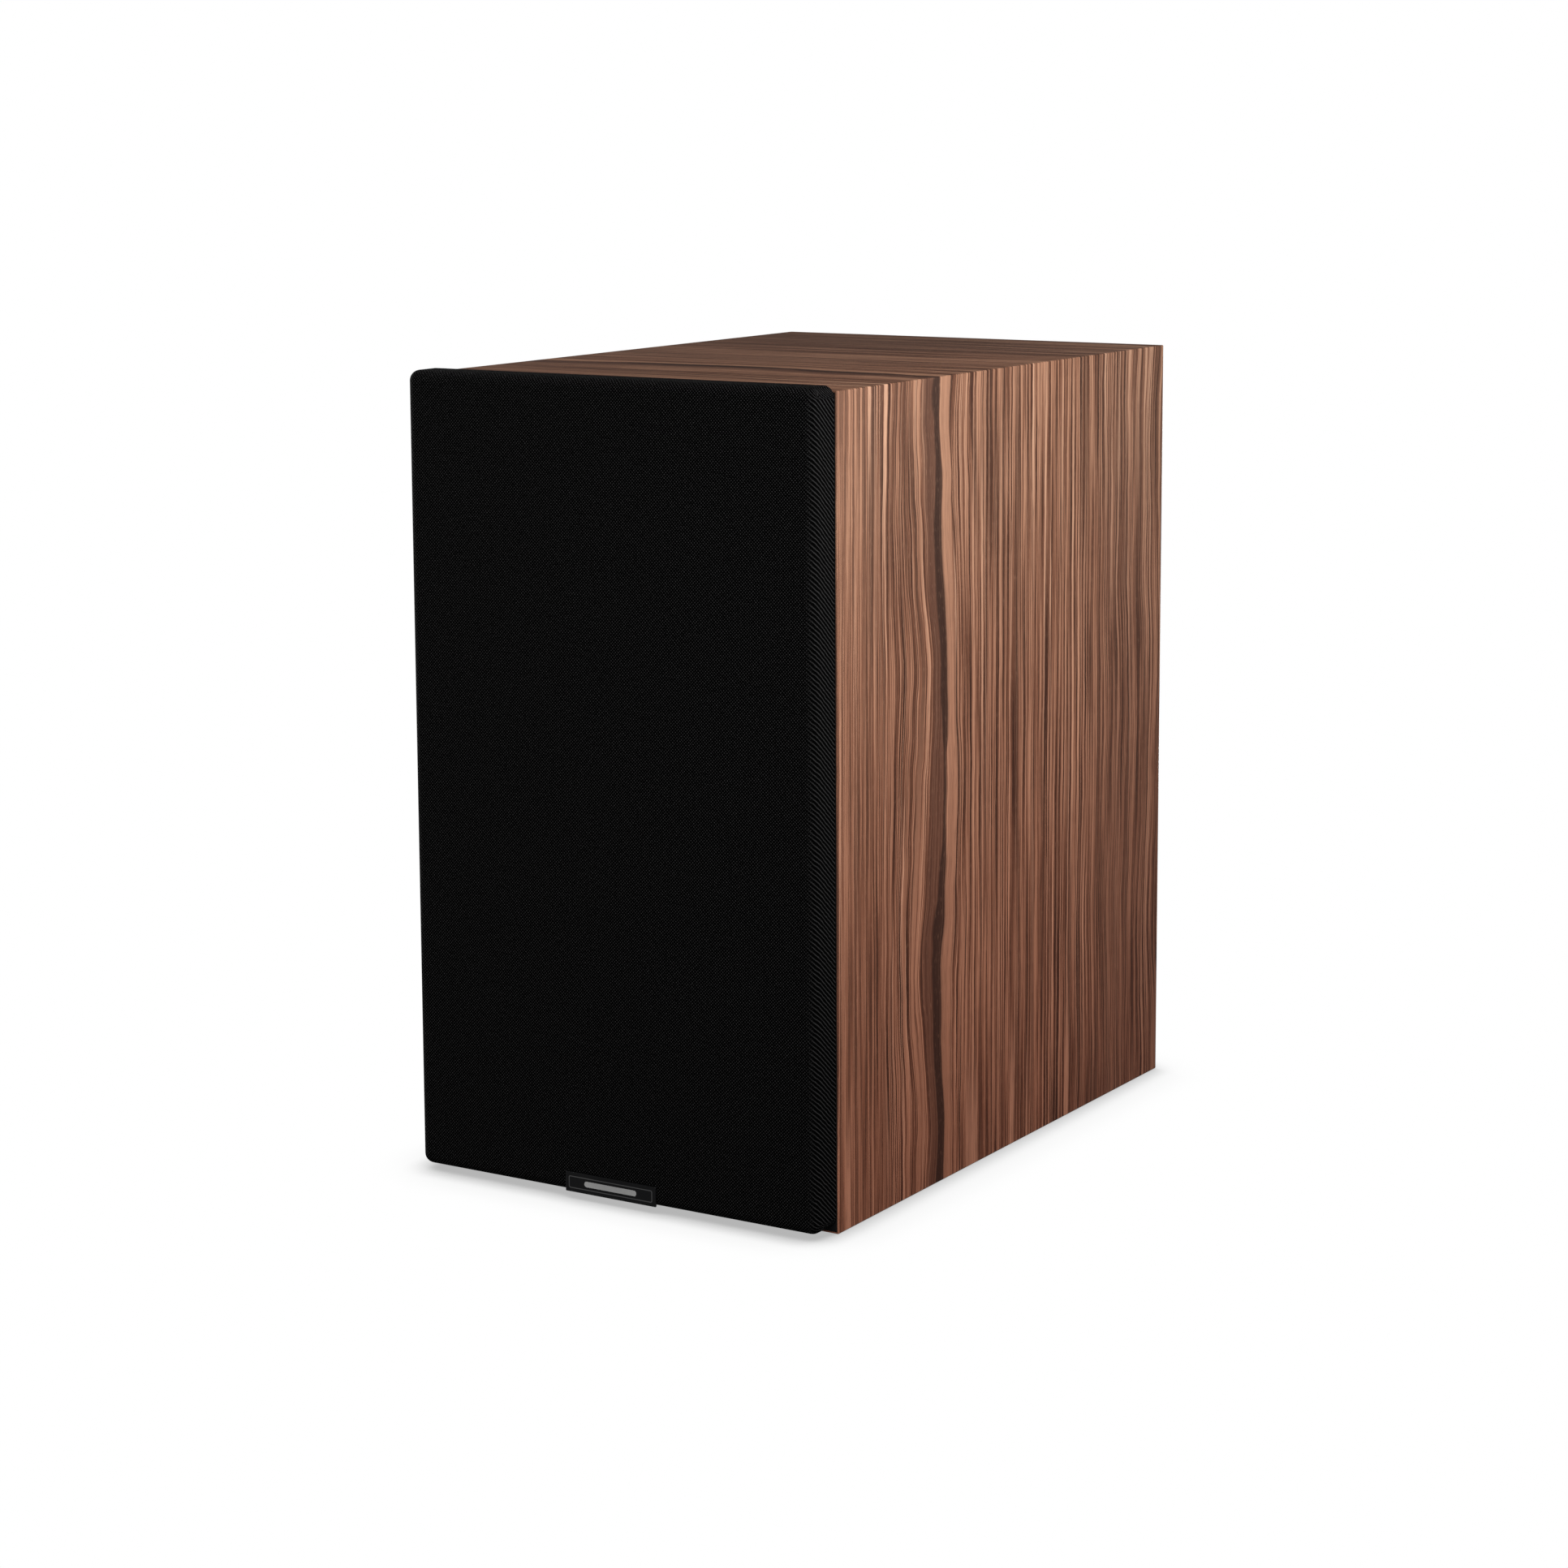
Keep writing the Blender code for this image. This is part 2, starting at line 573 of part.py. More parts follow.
def add_back_panel():
    """The back, flush between the panels, rebated for the port and the terminal cup."""
    panel = box("back_panel", (-BAFFLE_HALF_WIDTH, BACK_INNER, BAFFLE_BOTTOM),
                (BAFFLE_HALF_WIDTH, BACK, BAFFLE_TOP), BAFFLE_BLACK)
    placing = {"place": (0, BACK, PORT_HEIGHT), "turn": BACKWARD}
    through = BACK_THICKNESS + 2 * GAP
    cut(panel,
        holes("port_rebate", [(0, 0)], PORT_FLANGE_RADIUS + GAP,
              -PORT_FLANGE_THICKNESS - GAP, OVERSHOOT, LARGE_ROUND, **placing),
        holes("port_hole", [(0, 0)], PORT_BORE + PORT_WALL + GAP, -through, OVERSHOOT,
              LARGE_ROUND, **placing))
    for name, size, radius, depth in (("terminal_rebate", TERMINAL_FLANGE, TERMINAL_FLANGE_CORNER,
                                       TERMINAL_FLANGE_THICKNESS + GAP),
                                      ("terminal_hole", TERMINAL_OUTSIDE,
                                       TERMINAL_CORNER + TERMINAL_WALL, through)):
        room = (size[0] + 2 * GAP, size[1] + 2 * GAP)
        cut(panel, rounded_block(name, room, radius + GAP, -depth, OVERSHOOT))
    cut(panel, holes("terminal_pilots", TERMINAL_SCREW_PLACES, SCREW_SHANK_RADIUS + GAP,
                     -through, OVERSHOOT, place=(0, BACK, TERMINAL_HEIGHT), turn=BACKWARD))


def add_brace():
    """A shelf with a large window that ties the four walls together."""
    front = BAFFLE_REAR + GAP
    rear = BACK_INNER - GAP
    low = BRACE_HEIGHT - BRACE_THICKNESS / 2
    high = BRACE_HEIGHT + BRACE_THICKNESS / 2
    brace = box("window_brace", (-BAFFLE_HALF_WIDTH, front, low),
                (BAFFLE_HALF_WIDTH, rear, high), FIBREBOARD)
    edge = BAFFLE_HALF_WIDTH - BRACE_RAIL
    outline = rounded_rectangle(-edge, edge, front + BRACE_RAIL, rear - BRACE_RAIL,
                                BRACE_WINDOW_RADIUS)
    cut(brace, flat_solid("brace_window", outline, low - OVERSHOOT, high + OVERSHOOT))


# ---------------------------------------------------------------- grille
def add_grille():
    """A moulded frame, the cloth stretched round it, and a small badge."""
    back_plane = CLOTH_REAR
    half = HALF_WIDTH - GRILLE_SIDE_INSET
    low = Vector((-half, GRILLE_FRONT, GRILLE_BOTTOM))
    high = Vector((half, back_plane, CABINET_HEIGHT + GRILLE_TOP_PROUD))
    skin = Vector((CLOTH, CLOTH, CLOTH))
    space = Vector((GAP, GAP, GAP))

    cloth = rounded_tray("grille_cloth", low, high, GRILLE_EDGE_RADIUS, CLOTH_BLACK)
    inside = rounded_tray("cloth_inside", low + skin, high - skin, GRILLE_EDGE_RADIUS - CLOTH)
    lip = Vector((CLOTH_LIP, 0, CLOTH_LIP))
    opening_low = low + lip
    opening_high = high - lip
    opening_low.y = back_plane - 2 * CLOTH
    opening_high.y = back_plane + OVERSHOOT
    cut(cloth, inside, box("cloth_opening", opening_low, opening_high))

    frame_low = low + skin + space
    frame_high = high - skin - space
    frame = rounded_tray("grille_frame", frame_low, frame_high,
                         GRILLE_EDGE_RADIUS - CLOTH - GAP, FRAME_BLACK)
    side = frame_high.x - GRILLE_SIDE_RAIL
    bottom = frame_low.z + GRILLE_END_RAIL
    top = frame_high.z - GRILLE_END_RAIL
    cross_low = CROSS_RAIL_HEIGHT - GRILLE_CROSS_RAIL / 2
    cross_high = CROSS_RAIL_HEIGHT + GRILLE_CROSS_RAIL / 2
    small = GRILLE_WINDOW_RADIUS / 3
    windows = (("low", bottom, cross_low, GRILLE_WINDOW_RADIUS, small),
               ("high", cross_high, top, small, GRILLE_WINDOW_RADIUS))
    for name, floor, ceiling, radius_low, radius_high in windows:
        outline = window_outline(side, floor, ceiling, radius_low, radius_high)
        cut(frame, flat_solid("grille_window_" + name, outline, -THROUGH, THROUGH,
                              place=(0, GRILLE_FRONT, 0), turn=FORWARD))
    cut(frame, holes("grille_magnet_pockets", [(x, -z) for x, z in MAGNET_PLACES],
                     HOLDING_MAGNET_RADIUS + GAP, -HOLDING_MAGNET_THICKNESS - GAP, OVERSHOOT,
                     SMALL_ROUND, place=(0, GRILLE_FRAME_REAR, 0), turn=BACKWARD))

    badge_low = GRILLE_BOTTOM + BADGE_LIFT
    badge_rear = GRILLE_FRONT - GAP
    box("grille_badge", (-BADGE_WIDTH / 2, badge_rear - BADGE_THICKNESS, badge_low),
        (BADGE_WIDTH / 2, badge_rear, badge_low + BADGE_HEIGHT), GLOSS_BLACK,
        round_edge=lambda a, b: max(a.y, b.y) < badge_rear - BADGE_THICKNESS / 2,
        radius=BADGE_THICKNESS / 3, segments=2)


def rounded_tray(name, low, high, radius, look=None):
    """A box whose edges are round, except around its back."""
    middle = (low.y + high.y) / 2
    return box(name, low, high, look, round_edge=lambda a, b: min(a.y, b.y) < middle,
               radius=radius, segments=4)


def window_outline(side, floor, ceiling, radius_low, radius_high):
    """A window as wide at both ends, with its own corner radius at each end."""
    lower = rounded_rectangle(-side, side, floor, ceiling, radius_low)
    upper = rounded_rectangle(-side, side, floor, ceiling, radius_high)
    return upper[:len(upper) // 2] + lower[len(lower) // 2:]


# ---------------------------------------------------------------- profiles
def cap(radius, rise, base, steps):
    """Points of a round cap from its top on the axis down to its rim."""
    sphere = (radius ** 2 + rise ** 2) / (2 * rise)
    widest = math.asin(radius / sphere)
    centre = base + rise - sphere
    angles = [widest * step / steps for step in range(steps + 1)]
    return [(sphere * math.sin(angle), centre + sphere * math.cos(angle)) for angle in angles]


def half_roll(outer_lip, outer, inner, inner_lip, base, thickness, steps):
    """A half-round surround between two flat lips, standing up from its base."""
    centre = (outer + inner) / 2
    middle = (outer - inner) / 2
    under = middle - thickness / 2
    over = middle + thickness / 2
    start = math.asin(thickness / over)
    points = [(outer_lip, base + thickness), (outer_lip, base)]
    for step in range(steps + 1):
        angle = math.pi * step / steps
        points.append((centre + under * math.cos(angle), base + under * math.sin(angle)))
    points += [(inner_lip, base), (inner_lip, base + thickness)]
    for step in range(steps + 1):
        angle = math.pi - start - (math.pi - 2 * start) * step / steps
        points.append((centre + over * math.cos(angle), base + over * math.sin(angle)))
    return points


def ring_profile(outer, inner, high, low):
    """A plain flat ring."""
    return [(outer, high), (outer, low), (inner, low), (inner, high)]


def radial_boxes(name, count, inner, outer, width, low, high, parent, first=0.0):
    """One cutter with a box for each of count directions about local Z."""
    bm = bmesh.new()
    for index in range(count):
        made = bmesh.ops.create_cube(bm, size=1.0)["verts"]
        bmesh.ops.scale(bm, vec=(outer - inner, width, high - low), verts=made)
        bmesh.ops.translate(bm, vec=((inner + outer) / 2, 0, (low + high) / 2), verts=made)
        turn = Matrix.Rotation(first + 2 * math.pi * index / count, 3, "Z")
        bmesh.ops.rotate(bm, cent=(0, 0, 0), matrix=turn, verts=made)
    return add(name, mesh_from(bm, name), parent=parent)


# ---------------------------------------------------------------- woofer
def add_woofer():
    """A cast-basket woofer; local +Z faces the room and local 0 is the baffle's front."""
    axis = empty("woofer_axis", (0, FRONT, WOOFER_HEIGHT), FORWARD)
    trim_low = -TRIM_THICKNESS
    flange_high = trim_low - GAP
    flange_low = flange_high - FLANGE_THICKNESS
    gasket_high = flange_low - GAP
    trim_bore = BASKET_RIM + SURROUND_LIP + GAP
    places = ring_places(WOOFER_SCREWS, WOOFER_SCREW_CIRCLE, math.pi / 4)
    screw_holes = holes("woofer_screw_holes", places, SCREW_SHANK_RADIUS + GAP, -THROUGH,
                        OVERSHOOT, parent=axis)
    gasket = turned("woofer_gasket", ring_profile(WOOFER_RADIUS, trim_bore, gasket_high,
                                                  gasket_high - GASKET_THICKNESS),
                    LARGE_ROUND, RUBBER_BLACK, axis)
    edge = TRIM_THICKNESS / 3
    trim = turned("woofer_trim_ring",
                  [(WOOFER_RADIUS - edge, 0), (WOOFER_RADIUS, -edge), (WOOFER_RADIUS, trim_low),
                   (trim_bore, trim_low), (trim_bore, -edge), (trim_bore + edge, 0)],
                  LARGE_ROUND, PLASTIC_BLACK, axis)
    basket = turned("woofer_basket", basket_profile(flange_high, flange_low), LARGE_ROUND,
                    CAST_METAL, axis)
    cut(basket, radial_boxes("basket_windows", BASKET_WINDOWS,
                             BASKET_FOOT_RADIUS - BASKET_WINDOW_INSET, WOOFER_RADIUS,
                             BASKET_WINDOW_WIDTH, -SPIDER_DEPTH + BASKET_BAND,
                             flange_low - BASKET_BAND, axis))
    for piece in (gasket, trim, basket):
        cut(piece, screw_holes)
    add_screws("woofer_screw", places, 0, WOOFER_SCREW_LENGTH, BLACK_STEEL, axis)
    add_diaphragm(axis, flange_high + GAP)
    add_woofer_motor(axis)


def basket_wall(height, top):
    """Outside radius of the basket's tapering wall at a height below the flange."""
    upper = BASKET_RIM + BASKET_WALL
    foot = -BASKET_DEPTH + BASKET_FOOT_HEIGHT
    return upper + (BASKET_FOOT_RADIUS - upper) * (top - height) / (top - foot)


def spider_ledge(top):
    """Outside radius of the ledge that the spider rests on."""
    return basket_wall(-SPIDER_DEPTH, top) - BASKET_WALL


def basket_profile(flange_high, flange_low):
    """Flange, tapering wall, foot, floor with its bore, and the spider's ledge."""
    ledge = spider_ledge(flange_low)
    floor = -BASKET_DEPTH + BASKET_WALL
    return [(WOOFER_RADIUS, flange_high), (WOOFER_RADIUS, flange_low),
            (BASKET_RIM + BASKET_WALL, flange_low),
            (BASKET_FOOT_RADIUS, -BASKET_DEPTH + BASKET_FOOT_HEIGHT),
            (BASKET_FOOT_RADIUS, -BASKET_DEPTH), (BASKET_BORE, -BASKET_DEPTH),
            (BASKET_BORE, floor), (ledge - SPIDER_LEDGE_WIDTH, floor),
            (ledge - SPIDER_LEDGE_WIDTH, -SPIDER_DEPTH), (ledge, -SPIDER_DEPTH),
            (BASKET_RIM, flange_low), (BASKET_RIM, flange_high)]


def add_diaphragm(axis, base):
    """Surround, cone, dust cap, voice coil and spider; base is the surround's underside."""
    lip = CONE_RIM - CONE_LIP
    turned("woofer_surround", half_roll(BASKET_RIM + SURROUND_LIP, BASKET_RIM, CONE_RIM, lip,
                                        base, SURROUND_THICKNESS, ROLL_STEPS), LARGE_ROUND,
           RUBBER_BLACK, axis)
    cone_top = base - GAP
    upper = []
    for step in range(CONE_STEPS + 1):
        share = step / CONE_STEPS
        upper.append((lip + (CONE_NECK - lip) * share, cone_top - CONE_DEPTH * share ** CONE_FLARE))
    under = [(radius, height - CONE_THICKNESS) for radius, height in upper]
    turned("woofer_cone", [(CONE_RIM, cone_top), (CONE_RIM, cone_top - CONE_THICKNESS), *under,
                           *reversed(upper)], LARGE_ROUND, PULP_GREY, axis)
    share = (lip - DUST_CAP_RADIUS) / (lip - CONE_NECK)
    seat = cone_top - CONE_DEPTH * share ** CONE_FLARE + GAP
    outside = cap(DUST_CAP_RADIUS, DUST_CAP_RISE, seat, CAP_STEPS)
    inside = cap(DUST_CAP_RADIUS - CONE_THICKNESS, DUST_CAP_RISE - CONE_THICKNESS, seat,
                 CAP_STEPS)
    turned("woofer_dust_cap", [*outside, *reversed(inside)], MIDDLE_ROUND, PULP_GREY, axis)
    coil_top = cone_top - CONE_DEPTH + COIL_WALL
    turned("woofer_voice_coil", ring_profile(COIL_RADIUS, COIL_RADIUS - COIL_WALL, coil_top,
                                             coil_top - COIL_LENGTH), MIDDLE_ROUND, COPPER, axis)
    add_spider(axis, base - GAP - FLANGE_THICKNESS)


def add_spider(axis, top):
    """The corrugated disc that centres the voice coil."""
    outer = spider_ledge(top) - GAP
    flat = outer - SPIDER_LEDGE_WIDTH
    inner = COIL_RADIUS + GAP
    rest = -SPIDER_DEPTH + GAP
    upper = [(outer, rest + SPIDER_THICKNESS), (flat, rest + SPIDER_THICKNESS)]
    for wave in range(1, 2 * SPIDER_WAVES):
        radius = flat + (inner - flat) * wave / (2 * SPIDER_WAVES)
        height = rest + SPIDER_THICKNESS + SPIDER_WAVE_HEIGHT * (wave % 2)
        upper.append((radius, height))
    upper.append((inner, rest + SPIDER_THICKNESS))
    under = [(radius, height - SPIDER_THICKNESS) for radius, height in upper]
    turned("woofer_spider", [*under, *reversed(upper)], MIDDLE_ROUND, SPIDER_CLOTH, axis)


def add_woofer_motor(axis):
    """Top plate, ring magnet and a vented yoke whose pole stands inside the voice coil."""
    plate_high = -BASKET_DEPTH - GAP
    plate_low = plate_high - TOP_PLATE_THICKNESS
    magnet_high = plate_low - GAP
    magnet_low = magnet_high - WOOFER_MAGNET_THICKNESS
    yoke_high = magnet_low - GAP
    yoke_low = yoke_high - BACK_PLATE_THICKNESS
    pole = COIL_RADIUS - COIL_WALL - COIL_CLEARANCE
    turned("woofer_top_plate", ring_profile(MOTOR_RADIUS, COIL_RADIUS + COIL_CLEARANCE,
                                            plate_high, plate_low), MIDDLE_ROUND, STEEL, axis)
    turned("woofer_magnet", ring_profile(MOTOR_RADIUS, WOOFER_MAGNET_BORE, magnet_high,
                                         magnet_low), MIDDLE_ROUND, FERRITE, axis)
    turned("woofer_yoke", [(MOTOR_RADIUS, yoke_high), (MOTOR_RADIUS, yoke_low),
                           (POLE_VENT, yoke_low), (POLE_VENT, plate_high), (pole, plate_high),
                           (pole, yoke_high)], MIDDLE_ROUND, STEEL, axis)


# ---------------------------------------------------------------- tweeter
def add_tweeter():
    """A soft-dome tweeter in a shallow waveguide; local +Z faces the room."""
    axis = empty("tweeter_axis", (0, FRONT, TWEETER_HEIGHT), FORWARD)
    places = ring_places(TWEETER_SCREWS, TWEETER_SCREW_CIRCLE, math.pi / 2)
    boss = TWEETER_CUTOUT - BOSS_CLEARANCE
    edge = GAP * 2
    profile = [(TWEETER_RADIUS - edge, 0), (TWEETER_RADIUS, -edge),
               (TWEETER_RADIUS, -FACEPLATE_THICKNESS), (boss, -FACEPLATE_THICKNESS),
               (boss, -FACEPLATE_DEPTH), (WAVEGUIDE_THROAT, -FACEPLATE_DEPTH)]
    for step in range(WAVEGUIDE_STEPS + 1):
        share = step / WAVEGUIDE_STEPS
        profile.append((WAVEGUIDE_THROAT + (WAVEGUIDE_MOUTH - WAVEGUIDE_THROAT) * share,
                        waveguide_height(share)))
    faceplate = turned("tweeter_faceplate", profile, LARGE_ROUND, PLASTIC_BLACK, axis)
    cut(faceplate, holes("tweeter_screw_holes", places, SCREW_SHANK_RADIUS + GAP, -THROUGH,
                         OVERSHOOT, parent=axis))
    add_screws("tweeter_screw", places, 0, TWEETER_SCREW_LENGTH, BLACK_STEEL, axis)
    add_guard(axis)

    lip_top = -FACEPLATE_DEPTH - GAP
    base = lip_top - DOME_THICKNESS
    outer = WAVEGUIDE_THROAT - GAP
    inner = DOME_RADIUS + GAP
    turned("tweeter_surround", half_roll(outer + TWEETER_LIP, outer, inner + DOME_THICKNESS,
                                         inner, base, DOME_THICKNESS, ROLL_STEPS - 2), MIDDLE_ROUND,
           SILK_BLACK, axis)
    outside = cap(DOME_RADIUS, DOME_RISE, base, CAP_STEPS)
    bore = DOME_RADIUS - DOME_THICKNESS
    inside = cap(bore, DOME_RISE - DOME_THICKNESS, base, CAP_STEPS)
    former_end = base - DOME_FORMER
    turned("tweeter_dome", [*outside, (DOME_RADIUS, former_end), (bore, former_end),
                            *reversed(inside)], MIDDLE_ROUND, SILK_BLACK, axis)

    motor_top = base - GAP
    motor_low = motor_top - TWEETER_MOTOR_THICKNESS
    groove = former_end - FORMER_CLEARANCE
    slot_outer = DOME_RADIUS + 2 * GAP
    slot_inner = bore - 2 * GAP
    pole_top = motor_top - POLE_SINK
    turned("tweeter_motor", [(TWEETER_MOTOR_RADIUS, motor_top), (TWEETER_MOTOR_RADIUS, motor_low),
                             (TWEETER_VENT, motor_low), (TWEETER_VENT, pole_top),
                             (slot_inner, pole_top), (slot_inner, groove), (slot_outer, groove),
                             (slot_outer, motor_top)], MIDDLE_ROUND, FERRITE, axis)
    mouth = motor_low - GAP
    end = mouth - CHAMBER_DEPTH
    cavity = CHAMBER_RADIUS - CHAMBER_WALL
    turned("tweeter_chamber", [(0, end + CHAMBER_WALL), (cavity, end + CHAMBER_WALL),
                               (cavity, mouth), (CHAMBER_RADIUS, mouth), (CHAMBER_RADIUS, end),
                               (0, end)], MIDDLE_ROUND, PLASTIC_BLACK, axis)


def waveguide_height(share):
    """Height of the waveguide's surface at a share of the way from throat to mouth."""
    return -WAVEGUIDE_DEPTH * (1 - share) ** WAVEGUIDE_CURVE


def add_guard(axis):
    """A ring with three arms and a small disc in front of the dome."""
    ring_inner = WAVEGUIDE_THROAT + GUARD_STEP
    ring_outer = ring_inner + GUARD_RING
    share = (ring_outer - WAVEGUIDE_THROAT) / (WAVEGUIDE_MOUTH - WAVEGUIDE_THROAT)
    ring_low = waveguide_height(share) + GAP
    arm_low = -FACEPLATE_DEPTH - GAP - DOME_THICKNESS + DOME_RISE + GUARD_CLEARANCE
    arm_high = arm_low + GUARD_ARM
    guard = turned("tweeter_guard", ring_profile(ring_outer, ring_inner, arm_high + GAP, ring_low),
                   MIDDLE_ROUND, PLASTIC_BLACK, axis)
    arms = radial_boxes("guard_arms", 3, GUARD_DISC / 2, (ring_inner + ring_outer) / 2, GUARD_ARM,
                        arm_low, arm_high, axis, math.pi / 6)
    disc = holes("guard_disc", [(0, 0)], GUARD_DISC, arm_low - GAP / 2, arm_high + GAP / 2, SMALL_ROUND,
                 parent=axis)
    join(guard, arms, disc)


# ---------------------------------------------------------------- port and terminals
def add_port():
    """The rear port: a flanged tube with a rounded mouth."""
    tube_outer = PORT_BORE + PORT_WALL
    profile = [(PORT_FLANGE_RADIUS, 0), (PORT_FLANGE_RADIUS, -PORT_FLANGE_THICKNESS),
               (tube_outer, -PORT_FLANGE_THICKNESS), (tube_outer, -PORT_LENGTH),
               (PORT_BORE, -PORT_LENGTH)]
    for step in range(PORT_FLARE_STEPS + 1):
        angle = math.pi / 2 * step / PORT_FLARE_STEPS
        profile.append((PORT_BORE + PORT_FLARE * (1 - math.cos(angle)),
                        -PORT_FLARE * (1 - math.sin(angle))))
    turned("port_tube", profile, LARGE_ROUND, PLASTIC_BLACK, None, (0, BACK, PORT_HEIGHT), BACKWARD)


def rounded_block(name, size, radius, low, high, look=None):
    """A block with round corners on the back, centred on the terminal cup."""
    outline = rounded_rectangle(-size[0] / 2, size[0] / 2, -size[1] / 2, size[1] / 2, radius)
    return flat_solid(name, outline, low, high, look,
                      place=(0, BACK, TERMINAL_HEIGHT), turn=BACKWARD)


def add_terminals():
    """A recessed cup with a red and a black binding post."""
    floor = -TERMINAL_DEPTH
    cup = rounded_block("terminal_cup", TERMINAL_FLANGE, TERMINAL_FLANGE_CORNER,
                        -TERMINAL_FLANGE_THICKNESS, 0, PLASTIC_BLACK)
    tub = rounded_block("terminal_tub", TERMINAL_OUTSIDE, TERMINAL_CORNER + TERMINAL_WALL,
                        floor - TERMINAL_FLOOR, -TERMINAL_FLANGE_THICKNESS / 2)
    cavity = rounded_block("terminal_cavity", TERMINAL_RECESS, TERMINAL_CORNER, floor, OVERSHOOT)
    places = [(x, 0) for x in (-POST_SPACING / 2, POST_SPACING / 2)]
    placing = {"place": (0, BACK, TERMINAL_HEIGHT), "turn": BACKWARD}
    join(cup, tub)
    cut(cup, cavity,
        holes("post_holes", places, POST_RADIUS + GAP, floor - OVERSHOOT, floor + OVERSHOOT, SMALL_ROUND,
              **placing),
        holes("terminal_screw_holes", TERMINAL_SCREW_PLACES, SCREW_SHANK_RADIUS + GAP,
              -THROUGH, OVERSHOOT, **placing))
    add_screws("terminal_screw", TERMINAL_SCREW_PLACES, 0, TERMINAL_SCREW_LENGTH, BLACK_STEEL,
               empty("terminal_axis", (0, BACK, TERMINAL_HEIGHT), BACKWARD))
    for colour, look, (x, _) in (("red", RED_PLASTIC, places[1]),
                                 ("black", PLASTIC_BLACK, places[0])):
        add_post(colour, look, x)


def add_post(colour, look, x):
    """A gold-plated post, its clamp washer and its fluted nut; local 0 is the cup's floor."""
    axis = empty(colour + "_post_axis", (x, BACK - TERMINAL_DEPTH, TERMINAL_HEIGHT), BACKWARD)
    tail = TERMINAL_FLOOR + BOARD_STAND_OFF + BOARD_THICKNESS / 2
    clamp_low = POST_COLLAR_HEIGHT + GAP
    clamp_high = clamp_low + CLAMP_THICKNESS
    post = turned(colour + "_post",
                  [(0, BANANA_FLOOR), (BANANA_BORE, BANANA_FLOOR), (BANANA_BORE, POST_LENGTH),
                   (POST_RADIUS, POST_LENGTH), (POST_RADIUS, POST_COLLAR_HEIGHT),
                   (POST_COLLAR_RADIUS, POST_COLLAR_HEIGHT), (POST_COLLAR_RADIUS, GAP),
                   (POST_RADIUS, GAP), (POST_RADIUS, -tail), (0, -tail)], SMALL_ROUND, GOLD_PLATE,
                  axis)
    cut(post, add(colour + "_wire_hole",
                  cylinder_mesh("wire_hole", [(0, 0)], WIRE_HOLE, -OVERSHOOT, OVERSHOOT,
                                SCREW_ROUND),
                  parent=axis,
                  place=(0, 0, clamp_high + WIRE_HOLE / 2), turn=(0, math.pi / 2, 0)))
    bore = POST_RADIUS + GAP
    turned(colour + "_clamp_washer", ring_profile(CLAMP_RADIUS, bore, clamp_high, clamp_low),
           SMALL_ROUND, GOLD_PLATE, axis)
    outline = []
    for step in range(NUT_FLUTES * 4):
        angle = 2 * math.pi * step / (NUT_FLUTES * 4)
        radius = NUT_RADIUS - NUT_FLUTE_DEPTH * (1 - math.cos(NUT_FLUTES * angle)) / 2
        outline.append((radius * math.cos(angle), radius * math.sin(angle)))
    nut_low = clamp_high + GAP
    nut = flat_solid(colour + "_post_nut", outline, nut_low, nut_low + NUT_LENGTH, look, axis)
    cut(nut, holes(colour + "_nut_bore", [(0, 0)], bore, 0, THROUGH, SMALL_ROUND, parent=axis))


# ---------------------------------------------------------------- inside
def add_crossover():
    """The board behind the cup, carried by the posts' tails, with its coil and capacitor."""
    board_rear = BACK - TERMINAL_DEPTH - TERMINAL_FLOOR - BOARD_STAND_OFF
    board_front = board_rear - BOARD_THICKNESS
    half_x = BOARD_SIZE[0] / 2
    half_z = BOARD_SIZE[1] / 2
    board = box("crossover_board", (-half_x, board_front, TERMINAL_HEIGHT - half_z),
                (half_x, board_rear, TERMINAL_HEIGHT + half_z), BOARD_GREEN)
    places = [(x, 0) for x in (-POST_SPACING / 2, POST_SPACING / 2)]
    cut(board, holes("board_holes", places, POST_RADIUS + GAP, -OVERSHOOT, OVERSHOOT, SMALL_ROUND,
                     place=(0, board_rear, TERMINAL_HEIGHT), turn=BACKWARD))
    seat = board_front - GAP
    turned("bass_coil", ring_profile(BASS_COIL_RADIUS, BASS_COIL_BORE, BASS_COIL_THICKNESS, 0),
           MIDDLE_ROUND, COPPER, None, (-half_x / 2, seat, TERMINAL_HEIGHT + BASS_COIL_LIFT), FORWARD)
    half = CAPACITOR_LENGTH / 2
    shoulder = CAPACITOR_RADIUS / 5
    turned("capacitor", [(0, half), (CAPACITOR_RADIUS - shoulder, half),
                         (CAPACITOR_RADIUS, half - shoulder),
                         (CAPACITOR_RADIUS, shoulder - half),
                         (CAPACITOR_RADIUS - shoulder, -half), (0, -half)], SMALL_ROUND, CAPACITOR_FILM,
           None, (half_x / 2, seat - CAPACITOR_RADIUS, TERMINAL_HEIGHT))
    return seat


